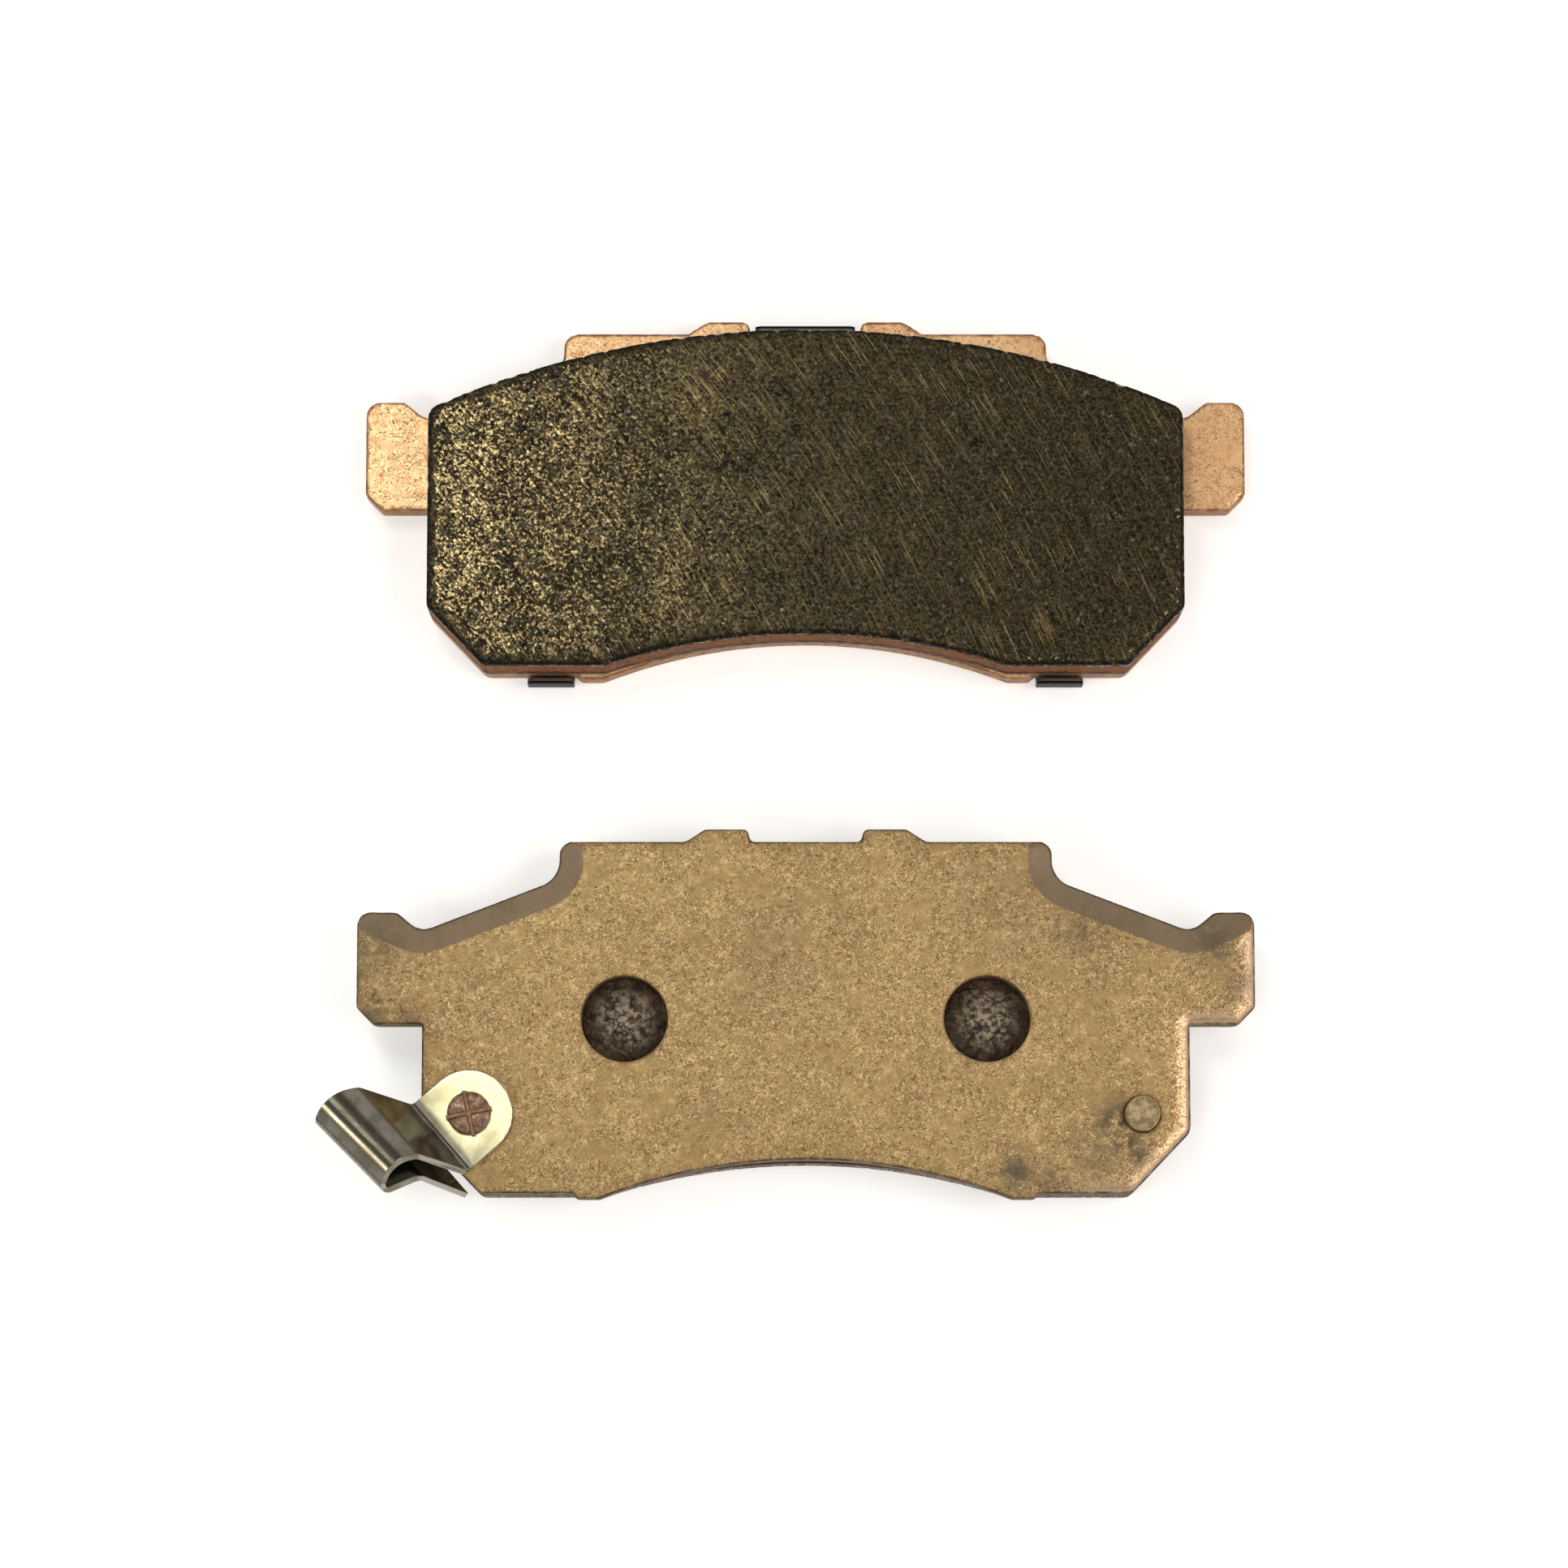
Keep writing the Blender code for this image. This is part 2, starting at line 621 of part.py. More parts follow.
def shim(parent):
    """The clip-on shim: a flat sheet with one leg bent over the top edge and two over the lower edge."""
    middle_radius = SHIM_BEND_RADIUS + SHIM_THICKNESS / 2
    bend_in = SHIM_BEND_RADIUS - LEG_GAP
    quarter = middle_radius * math.pi / 2
    upright = PLATE_THICKNESS + SEAT_GAP - SHIM_BEND_RADIUS - LEG_END_MARGIN
    leg_length = quarter + upright - bend_in
    blank = rounded(shim_corners(leg_length))
    bm = stack([(blank, 0.0), (blank, SHIM_THICKNESS)])
    top_line = TOP_EDGE_Y - bend_in
    low_line = bend_in
    steps = math.ceil(math.pi / 2 / ARC_STEP)
    for line, outward in ((top_line, 1.0), (low_line, -1.0)):
        for step in range(steps + 1):
            cut_y = line + outward * quarter * step / steps
            geometry = bm.verts[:] + bm.edges[:] + bm.faces[:]
            bmesh.ops.bisect_plane(bm, geom=geometry, plane_co=(0.0, cut_y, 0.0), plane_no=(0.0, 1.0, 0.0))
    for vert in bm.verts:
        x, y, depth = vert.co
        for line, outward in ((top_line, 1.0), (low_line, -1.0)):
            past = (y - line) * outward
            if past <= 0.0:
                continue
            angle = min(past, quarter) / middle_radius
            reach = SHIM_BEND_RADIUS + depth
            run = reach * math.sin(angle)
            rise = SHIM_BEND_RADIUS - reach * math.cos(angle)
            straight = max(0.0, past - quarter)
            vert.co = (x, line + outward * run, -rise - straight)
    bmesh.ops.translate(bm, verts=bm.verts, vec=(0.0, 0.0, SHIM_Z))
    return add_object("outer_shim", bm, parent, "shim_coat")


# Assembly


def inner_pad():
    """The pad with the wear indicator, back face up."""
    pad = frame("inner_pad", (0.0, -FACE_CENTRE_Y, 0.0))
    friction_block("inner_friction_block", pad)
    underlayer("inner_underlayer", pad)
    plate = backing_plate("inner_backing_plate", pad, "inner_plate_coat")
    stud_bore = STUD_DIAMETER + 2 * BORE_GAP
    for side, word in ((-1, "left"), (1, "right")):
        cut_name = f"inner_{word}_stud_cut"
        bore(plate, cut_name, side * STUD_X, STUD_Y, stud_bore, FRONT_Z, BACK_Z)
    spare_stud(pad)
    wear_indicator(pad)
    indicator_rivet(pad)


def outer_pad():
    """The pad with the shim, friction face up. The pad lifts out of the shim, which stays below."""
    place = (0.0, PAD_SPACING - FACE_CENTRE_Y, OUTER_HEIGHT)
    clip = frame("outer_shim_frame", place, turn_y=math.pi)
    shim(clip)
    pad = frame("outer_pad", (0.0, 0.0, 0.0), clip)
    friction_block("outer_friction_block", pad)
    underlayer("outer_underlayer", pad)
    backing_plate("outer_backing_plate", pad, "outer_plate_coat")


for old in list(bpy.data.objects):
    bpy.data.objects.remove(old)
inner_pad()
outer_pad()
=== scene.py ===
"""Looks of the brake pad set: worn coatings, ground lining, staked rivet, studio and camera.

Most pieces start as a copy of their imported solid, are remeshed finely enough to carry chips, cracks and
rolled edges, and then stand for that solid. Lengths are in metres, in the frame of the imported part.
"""

import math

import bmesh
import bpy
import numpy as np
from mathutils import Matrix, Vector, noise
from mathutils.bvhtree import BVHTree


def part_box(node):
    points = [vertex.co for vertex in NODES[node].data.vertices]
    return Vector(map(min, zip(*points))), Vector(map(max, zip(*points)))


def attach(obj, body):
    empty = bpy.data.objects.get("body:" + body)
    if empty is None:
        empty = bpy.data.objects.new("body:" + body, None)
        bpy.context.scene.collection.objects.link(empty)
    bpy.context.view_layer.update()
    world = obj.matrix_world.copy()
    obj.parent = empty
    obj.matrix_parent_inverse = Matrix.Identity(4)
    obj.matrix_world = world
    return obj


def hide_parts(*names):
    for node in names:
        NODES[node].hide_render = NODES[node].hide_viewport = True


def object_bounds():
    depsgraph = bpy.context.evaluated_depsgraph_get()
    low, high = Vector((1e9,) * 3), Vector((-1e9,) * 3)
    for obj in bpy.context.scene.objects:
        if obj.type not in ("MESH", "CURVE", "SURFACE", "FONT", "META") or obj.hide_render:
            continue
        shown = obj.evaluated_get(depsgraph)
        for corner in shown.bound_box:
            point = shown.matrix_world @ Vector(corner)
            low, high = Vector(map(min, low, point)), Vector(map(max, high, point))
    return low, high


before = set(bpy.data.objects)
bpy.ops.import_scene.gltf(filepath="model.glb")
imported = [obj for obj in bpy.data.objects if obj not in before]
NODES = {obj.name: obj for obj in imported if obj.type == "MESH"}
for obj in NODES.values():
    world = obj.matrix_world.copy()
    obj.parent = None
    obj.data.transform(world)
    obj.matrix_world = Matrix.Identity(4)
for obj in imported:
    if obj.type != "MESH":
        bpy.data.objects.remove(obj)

MM = 0.001
UP, DOWN = 1.0, -1.0
UP_AXIS = Vector((0.0, 0.0, 1.0))
CAD_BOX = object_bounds()

# Camera: the photograph's frame is square, and its long lens looks down from the inner pad's side
PHOTO_PIXELS = 1932
FOCAL_PIXELS = 6500.0
SENSOR = 36.0
CAMERA_TILT = math.radians(7.6)
CAMERA_DISTANCE = 0.7580
CAMERA_TARGET = Vector((-0.0031, 0.0319, 0.0100))
CAMERA_SIGHT = 10.0

# Studio: a glowing floor, and a sky given as height and level of light
FLOOR_SIZE = 6.0
FLOOR_GAP = 0.0002
FLOOR_GLOW = 0.42
FLOOR_COLOUR = (0.8, 0.8, 0.8, 1.0)
SKY = ((0.0, 0.12), (0.30, 0.82), (0.60, 0.82), (0.84, 0.08))
WHITE = (1.0, 1.0, 1.0, 1.0)

# Lamps: name, place, target, size, power, colour
SET_MIDDLE = (0.0, 0.03, 0.0)
TAB_MIDDLE = (-0.048, -0.016, 0.015)
LAMPS = (
    ("key", (-0.165, 0.27, 0.80), SET_MIDDLE, (0.13, 0.26), 1.35, (1.0, 0.98, 0.88)),
    ("right", (0.40, -0.05, 0.72), SET_MIDDLE, (0.30, 0.35), 2.2, (1.0, 0.88, 0.80)),
    ("front", (-0.345, -0.265, 0.665), SET_MIDDLE, (0.42, 0.13), 1.35, (1.0, 0.95, 0.80)),
    ("tab", (-0.095, 0.04, 0.80), TAB_MIDDLE, (0.17, 0.15), 0.125, (1.0, 1.0, 0.90)),
)

# Sculpting
WELD = 0.001 * MM
PLATE_VOXEL = 0.30 * MM
LINING_VOXEL = 0.28 * MM
RIVET_VOXEL = 0.07 * MM
STUD_VOXEL = 0.10 * MM
PLATE_FACES_KEPT = 0.4
FACES_KEPT = 0.5
WALL_SLOPE = 0.5

# Sheet metal: its rounded edges, the most metal behind a broad face, and what counts as within the loop,
# where the strip is darkened as painted shade
SHEET_EDGE = 0.12 * MM
SHEET_CORNER = math.radians(45.0)
SHIM_CREASE = math.radians(40.0)
SHIM_THICKNESS = 0.8 * MM
SHEET_THICKEST = 2.0 * MM
LOOP_WIDEST = 9.0 * MM
LOOP_DEEP = 7.0 * MM
LOOP_SIDE = Vector((-0.77, -0.64))

# The indicator's tab: bright round the rivet, and where it darkens towards its bend, measured along
# LOOP_SIDE; the darker bends are partly tarnishing and partly a painted reflection of the darker web
TAB_RADIUS = 6.6 * MM
TAB_FADE = 1.5 * MM
TAB_BEND = (49.9 * MM, 51.3 * MM)

# Stamped plates: reach, fall and depth of the rolled edge, also round the holes, and the dark line along it,
# partly wear and partly painted shade
ROLL_REACH = 4.0 * MM
ROLL_FALL = 0.56 * MM
ROLL_DEPTH = 2.0 * MM
HOLE_ROLL_REACH = 1.0 * MM
HOLE_ROLL_FALL = 0.20 * MM
RIM_LINE = 0.50 * MM
STUD_ROOM = 0.5 * MM
COINED_FALL = 0.05 * MM
CAD_ROLL = (0.6 * MM, 0.5 * MM)

# Edges rubbed lighter, partly worn paint and partly a painted highlight: how far in they reach, and where
# along the pad they begin and are full
POLISH_AND_HIGHLIGHT_REACH = 3.4 * MM
POLISH_AND_HIGHLIGHT_FROM = 28.0 * MM
POLISH_AND_HIGHLIGHT_FULL = 46.0 * MM
POLISH_AND_HIGHLIGHT_LEAST = 0.12

# Moulding plugs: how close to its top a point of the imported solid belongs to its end, how far that end is
# lowered, and the cracked disc in its place, with cells and depths in millimetres
PLUG_BAND = 0.01 * MM
PLUG_LOWERED = 0.9 * MM
PLUG_CREASE = math.radians(50.0)
PLUG_SINK = 0.35 * MM
PLUG_RINGS, PLUG_SPOKES = 90, 260
CRACK_CELL = 1.25
CRACK_WIDTH = 0.12
CRACK_DEPTH = 0.20
ASH_REACH = 0.8

# Linings: reach and sizes of edge chips, how far below the ground face the side walls' coat begins, and the
# share of it left on the inner lining's walls, kept low so that they read darker as painted shade
CHIP_REACH = 1.4 * MM
COARSE_CHIP = 1.2 * MM
FINE_CHIP = 0.55 * MM
COAT_START = 1.5 * MM
COAT_FADE = 0.3 * MM
SHADED_INNER_COAT = 0.3

# Grinding marks run in arcs about a point to the lower left of the outer pad
GRINDING_CENTRE = (-204.0 * MM, -54.0 * MM, 0.0)
GRINDING_RADIUS = 242.0 * MM

# Metal lands in the lining: cells in a metre along each axis
CHIPS = (1.0 / (0.44 * MM),) * 3

# The rivet's cross: how far below its top the ridges begin and are full
RIDGE_FOOT = 0.40 * MM
RIDGE_FULL = 0.15 * MM

# Dark marks on the inner plate: x, y, radius in millimetres, strength. The first three, beside the stud, are
# a painted shadow, and the four along the left ear's edges are painted shade; the rest are soot and handling
# marks.
SMUDGES_AND_SHADE = (
    (44.0, -17.0, 2.9, 1.0),
    (45.2, -19.8, 2.3, 1.0),
    (47.3, -21.8, 1.8, 0.8),
    (29.8, -24.2, 2.8, 0.9),
    (35.0, -25.6, 2.4, 0.8),
    (41.0, -21.6, 4.2, 0.45),
    (58.5, 8.3, 4.0, 0.6),
    (62.0, 3.0, 3.5, 0.5),
    (39.5, 11.0, 4.5, 0.4),
    (-61.0, 7.8, 4.5, 0.5),
    (-63.8, 3.5, 2.8, 0.6),
    (-62.0, -1.5, 3.0, 0.7),
    (-56.5, -2.8, 2.5, 0.5),
    (-4.0, 6.5, 6.0, 0.25),
    (27.0, 14.0, 6.0, 0.25),
)


def srgb(red, green, blue):
    """A linear colour from the 0 to 255 values that a screen shows."""
    parts = [value / 255.0 for value in (red, green, blue)]
    linear = [p / 12.92 if p <= 0.04045 else ((p + 0.055) / 1.055) ** 2.4 for p in parts]
    return (*linear, 1.0)


# Materials


class Finish:
    """A node material under construction, with short calls for the nodes that the finishes share."""

    def __init__(self, name):
        self.material = bpy.data.materials.new(name)
        self.material.use_nodes = True
        self.tree = self.material.node_tree
        self.tree.nodes.clear()
        self.shader = self.add("ShaderNodeBsdfPrincipled")
        output = self.add("ShaderNodeOutputMaterial")
        self.tree.links.new(self.shader.outputs[0], output.inputs["Surface"])
        self.place = self.add("ShaderNodeTexCoord").outputs["Object"]

    def add(self, kind, **settings):
        """A new node."""
        made = self.tree.nodes.new(kind)
        for key, value in settings.items():
            setattr(made, key, value)
        return made

    def put(self, socket, value):
        """Links a socket to another node's output, or writes a plain value."""
        if isinstance(value, bpy.types.NodeSocket):
            self.tree.links.new(value, socket)
        else:
            socket.default_value = value

    def set(self, **values):
        """Sets the surface shader's own inputs; an underscore stands for a space in their names."""
        for key, value in values.items():
            self.put(self.shader.inputs[key.replace("_", " ")], value)

    def noise(self, size, detail=3.0, roughness=0.55, distortion=0.0, place=None):
        """Smooth random values with features of the given size."""
        made = self.add("ShaderNodeTexNoise")
        self.put(made.inputs["Vector"], place or self.place)
        made.inputs["Scale"].default_value = 1.0 / size
        made.inputs["Detail"].default_value = detail
        made.inputs["Roughness"].default_value = roughness
        made.inputs["Distortion"].default_value = distortion
        return made.outputs[0]

    def cells(self, size, place=None):
        """Three random values for each cell of the given size."""
        made = self.add("ShaderNodeTexVoronoi")
        self.put(made.inputs["Vector"], place or self.place)
        made.inputs["Scale"].default_value = 1.0 / size
        split = self.add("ShaderNodeSeparateColor")
        self.put(split.inputs[0], made.outputs["Color"])
        return split.outputs[0], split.outputs[1], split.outputs[2]

    def band(self, value, low, high, start=0.0, end=1.0):
        """A smooth step from start to end while value goes from low to high."""
        made = self.add("ShaderNodeMapRange", interpolation_type="SMOOTHSTEP")
        self.put(made.inputs["Value"], value)
        made.inputs["From Min"].default_value = low
        made.inputs["From Max"].default_value = high
        made.inputs["To Min"].default_value = start
        made.inputs["To Max"].default_value = end
        return made.outputs[0]

    def math(self, operation, first, second=0.0):
        """A number worked out from two others."""
        made = self.add("ShaderNodeMath", operation=operation)
        self.put(made.inputs[0], first)
        self.put(made.inputs[1], second)
        return made.outputs[0]

    def vector(self, operation, first, second=(0.0, 0.0, 0.0), output="Vector"):
        """A vector, or a number, worked out from two vectors."""
        made = self.add("ShaderNodeVectorMath", operation=operation)
        self.put(made.inputs[0], first)
        self.put(made.inputs[1], second)
        return made.outputs[output]

    def mix(self, share, first, second):
        """A colour between two colours."""
        made = self.add("ShaderNodeMix", data_type="RGBA")
        self.put(made.inputs[0], share)
        self.put(made.inputs[6], first)
        self.put(made.inputs[7], second)
        return made.outputs[2]

    def mask(self, name):
        """A value that the mesh carries at its points."""
        return self.add("ShaderNodeAttribute", attribute_name=name).outputs["Fac"]

    def bump(self, height, distance, strength=1.0):
        """A normal that leans with the height's slope."""
        made = self.add("ShaderNodeBump")
        made.inputs["Strength"].default_value = strength
        made.inputs["Distance"].default_value = distance
        self.put(made.inputs["Height"], height)
        return made.outputs[0]


def plate_coat(name, base, patch, dark, light, coined, pressed, bare, rim, metallic, dull, glossy):
    """Bronze stoving paint on a stamped plate: wormy grain, calm patches, smooth bevels; a dark edge line,
    partly wear and partly painted shade; rubbed edges lightened partly by wear and partly as a painted
    highlight; dark marks, partly soot and partly painted shade.
    """
    f = Finish(name)
    worms = f.noise(0.46 * MM, detail=3.0, roughness=0.6, distortion=1.8)
    grain = f.noise(0.22 * MM, detail=4.0, roughness=0.7)
    clouds = f.noise(9.0 * MM, detail=4.0)
    lively = f.band(f.noise(4.0 * MM, detail=2.0), 0.36, 0.46, 0.3, 1.0)
    specks = f.noise(0.62 * MM, detail=1.0)
    mottle = f.noise(1.3 * MM, detail=3.0)
    colour = f.mix(f.band(clouds, 0.35, 0.65), base, patch)
    colour = f.mix(f.band(mottle, 0.48, 0.30, 0.0, 0.35), colour, dark)
    colour = f.mix(f.band(mottle, 0.54, 0.70, 0.0, 0.35), colour, light)
    colour = f.mix(f.math("MULTIPLY", lively, f.band(worms, 0.49, 0.36, 0.0, 0.85)), colour, dark)
    colour = f.mix(f.math("MULTIPLY", lively, f.band(worms, 0.53, 0.66, 0.0, 0.85)), colour, light)
    colour = f.mix(f.band(grain, 0.58, 0.70, 0.0, 0.45), colour, light)
    colour = f.mix(f.band(specks, 0.70, 0.76, 0.0, 0.6), colour, rim)
    smooth = f.mix(f.band(clouds, 0.40, 0.62), coined, pressed)
    smooth = f.mix(f.band(worms, 0.40, 0.64, 0.0, 0.25), smooth, base)
    border = f.math("ADD", f.mask("coined"), f.math("MULTIPLY", f.math("SUBTRACT", worms, 0.5), 0.7))
    border = f.band(border, 0.35, 0.65)
    colour = f.mix(border, colour, smooth)
    # Dark marks: soot and handling marks, and also painted shadow and painted shade.
    smudge_and_shade = f.math("MULTIPLY", f.mask("smudge_and_shade"), f.band(f.noise(1.6 * MM, detail=4.0), 0.30, 0.54))
    colour = f.mix(smudge_and_shade, colour, srgb(72, 65, 54))
    # Rubbed edges: lighter and shinier where the paint is worn; the lighter colour is also a painted
    # highlight.
    polish_and_highlight = f.math("ADD", f.mask("polish_and_highlight"), f.math("MULTIPLY", f.math("SUBTRACT", worms, 0.5), 1.6))
    polish_and_highlight = f.math("MULTIPLY", f.band(polish_and_highlight, 0.20, 0.95), f.band(f.mask("polish_and_highlight"), 0.0, 0.2))
    colour = f.mix(f.math("MULTIPLY", polish_and_highlight, 0.6), colour, bare)
    mottled = f.mix(f.band(f.noise(1.1 * MM, detail=4.0), 0.38, 0.62), srgb(112, 96, 70), srgb(168, 150, 116))
    colour = f.mix(f.math("MULTIPLY", f.mask("rubbed"), 0.9), colour, mottled)
    sheared = f.mix(f.band(mottle, 0.30, 0.70, 0.1, 0.5), rim, base)
    sheared = f.mix(f.band(grain, 0.56, 0.70, 0.0, 0.4), sheared, dark)
    colour = f.mix(f.mask("side"), colour, sheared)
    # A broken dark line along the edges: partly worn paint, partly painted shade.
    breaks = f.band(f.noise(1.8 * MM, detail=3.0), 0.34, 0.60, 0.5, 1.0)
    worn_and_shaded_edge = f.math("MULTIPLY", f.band(f.mask("rim"), 0.15, 0.70), breaks)
    colour = f.mix(worn_and_shaded_edge, colour, rim)
    shiny = f.math("ADD", metallic, f.math("MULTIPLY", polish_and_highlight, 0.96 - metallic))
    dulled = f.math("MAXIMUM", worn_and_shaded_edge, f.math("MULTIPLY", f.mask("side"), 0.8))
    clear = f.math("SUBTRACT", 1.0, f.math("MAXIMUM", smudge_and_shade, dulled))
    f.set(Base_Color=colour, Metallic=f.math("MULTIPLY", shiny, clear))
    f.set(Specular_IOR_Level=0.3)
    roughness = f.band(worms, 0.3, 0.7, dull, glossy)
    roughness = f.math("SUBTRACT", roughness, f.math("MULTIPLY", polish_and_highlight, 0.10))
    f.set(Roughness=f.math("SUBTRACT", f.math("ADD", roughness, 0.3), f.math("MULTIPLY", clear, 0.3)))
    relief = f.math("ADD", worms, f.math("MULTIPLY", grain, 0.7))
    relief = f.math("MULTIPLY", relief, f.math("SUBTRACT", 1.0, f.math("MULTIPLY", border, 0.7)))
    f.set(Normal=f.bump(relief, 0.05 * MM, 0.4))
    return f.material


def lining():
    """Ground lining: glossy metal lands in a dark matrix, grinding arcs, coated side walls."""
    f = Finish("lining")
    arm = f.vector("SUBTRACT", f.place, GRINDING_CENTRE)
    radius = f.vector("LENGTH", arm, output="Value")
    parts = f.add("ShaderNodeSeparateXYZ")
    f.put(parts.inputs[0], arm)
    turn = f.math("ARCTAN2", parts.outputs["Y"], parts.outputs["X"])

    def along_arcs(width, length):
        """Places stretched along the grinding arcs, counted in the given width and length."""
        made = f.add("ShaderNodeCombineXYZ")
        f.put(made.inputs["X"], f.math("DIVIDE", radius, width))
        f.put(made.inputs["Y"], f.math("MULTIPLY", turn, GRINDING_RADIUS / length))
        return made.outputs[0]

    grains = f.noise(0.42 * MM, detail=4.0, roughness=0.66, distortion=0.3)
    matrix = f.noise(0.40 * MM, detail=4.0, roughness=0.65)
    clumps = f.noise(2.2 * MM, detail=3.0, roughness=0.6)
    regions = f.noise(11.0 * MM, detail=3.0)
    furrows = f.noise(1.0, detail=3.0, roughness=0.6, place=along_arcs(0.8 * MM, 9.0 * MM))
    scratches = f.noise(1.0, detail=2.0, roughness=0.6, place=along_arcs(0.26 * MM, 9.0 * MM))
    wobble = f.add("ShaderNodeTexNoise")
    f.put(wobble.inputs["Vector"], f.place)
    wobble.inputs["Scale"].default_value = 1.0 / (0.4 * MM)
    bent = f.vector("ADD", along_arcs(0.36 * MM, 0.52 * MM), wobble.outputs["Color"])
    kind, tone, _ = f.cells(1.0, bent)
    chips = f.vector("ADD", f.vector("MULTIPLY", f.place, CHIPS), wobble.outputs["Color"])
    chip, _, _ = f.cells(1.0, chips)

    mingled = f.math("ADD", matrix, f.math("MULTIPLY", f.math("SUBTRACT", chip, 0.5), 0.24))
    face = f.mix(f.band(mingled, 0.32, 0.66), srgb(12, 11, 8), srgb(48, 42, 29))
    face = f.mix(f.band(furrows, 0.46, 0.66, 0.0, 0.5), face, srgb(58, 50, 36))
    face = f.mix(f.band(furrows, 0.46, 0.32, 0.0, 0.85), face, srgb(22, 19, 14))
    metal = f.mix(f.band(matrix, 0.40, 0.62), srgb(62, 55, 39), srgb(114, 100, 71))
    land = f.math("ADD", grains, f.math("MULTIPLY", f.math("SUBTRACT", regions, 0.5), 0.25))
    land = f.math("ADD", land, f.math("MULTIPLY", f.math("SUBTRACT", chip, 0.5), 0.26))
    land = f.band(land, 0.33, 0.72)
    pit = f.math("MAXIMUM", f.band(clumps, 0.34, 0.28), f.band(furrows, 0.33, 0.26))
    land = f.math("MULTIPLY", land, f.math("SUBTRACT", 1.0, pit))
    line = f.math("MULTIPLY", f.band(scratches, 0.58, 0.67), f.band(regions, 0.38, 0.60, 0.3, 1.0))
    shine = f.math("MAXIMUM", land, f.math("MULTIPLY", line, 0.45))
    face = f.mix(f.math("MULTIPLY", pit, 0.8), face, srgb(20, 18, 14))
    face = f.mix(shine, face, metal)
    face = f.mix(f.math("MULTIPLY", line, 0.55), face, srgb(160, 141, 97))
    score = f.band(scratches, 0.40, 0.32)
    face = f.mix(f.math("MULTIPLY", score, 0.8), face, srgb(13, 12, 9))
    fleck = f.math("MULTIPLY", f.band(kind, 0.93, 0.95), f.band(matrix, 0.40, 0.55))
    face = f.mix(fleck, face, f.mix(tone, srgb(60, 61, 54), srgb(94, 96, 86)))
    border = f.math("ADD", f.mask("edge"), f.math("MULTIPLY", f.math("SUBTRACT", grains, 0.5), 0.6))
    border = f.band(border, 0.22, 0.62, 0.0, 0.92)
    face = f.mix(border, face, srgb(17, 16, 13))

    lumps = f.noise(0.9 * MM, detail=5.0, roughness=0.65)
    coat = f.mix(f.band(lumps, 0.35, 0.65), srgb(100, 59, 31), srgb(152, 94, 50))
    coat = f.mix(f.band(lumps, 0.36, 0.26, 0.0, 0.8), coat, srgb(36, 24, 17))
    wall = f.mask("wall")
    bare = f.math("MULTIPLY", f.math("SUBTRACT", 1.0, wall), f.math("SUBTRACT", 1.0, border))
    bare = f.math("MULTIPLY", bare, f.math("SUBTRACT", 1.0, fleck))
    bare = f.math("MULTIPLY", bare, f.math("SUBTRACT", 1.0, score))
    gloss = f.math("MULTIPLY", shine, bare)
    f.set(Base_Color=f.mix(wall, face, coat), Metallic=gloss, Roughness=f.band(gloss, 0.1, 0.8, 0.6, 0.17))
    f.set(Specular_IOR_Level=0.06)
    relief = f.math("ADD", f.math("MULTIPLY", grains, 0.9), scratches)
    f.set(Normal=f.bump(relief, 0.02 * MM, 0.10))
    return f.material


def underlayer():
    """The moulded bonding layer: brown, dry and crumbly, ash-grey where the plugs were scorched."""
    f = Finish("underlayer")
    lumps = f.noise(1.5 * MM, detail=5.0, roughness=0.65)
    grain = f.noise(0.30 * MM, detail=3.0)
    colour = f.mix(f.band(lumps, 0.36, 0.64), srgb(46, 34, 23), srgb(82, 63, 43))
    colour = f.mix(f.band(grain, 0.58, 0.74, 0.0, 0.4), colour, srgb(132, 110, 84))
    ash = f.math("MULTIPLY", f.mask("ash"), f.band(f.noise(0.9 * MM, detail=4.0), 0.42, 0.60))
    colour = f.mix(ash, colour, srgb(150, 141, 122))
    colour = f.mix(f.mask("crack"), colour, srgb(20, 14, 10))
    f.set(Base_Color=colour, Roughness=f.band(lumps, 0.3, 0.7, 0.8, 0.5), Specular_IOR_Level=0.3)
    f.set(Normal=f.bump(f.math("ADD", lumps, grain), 0.10 * MM, 0.7))
    return f.material


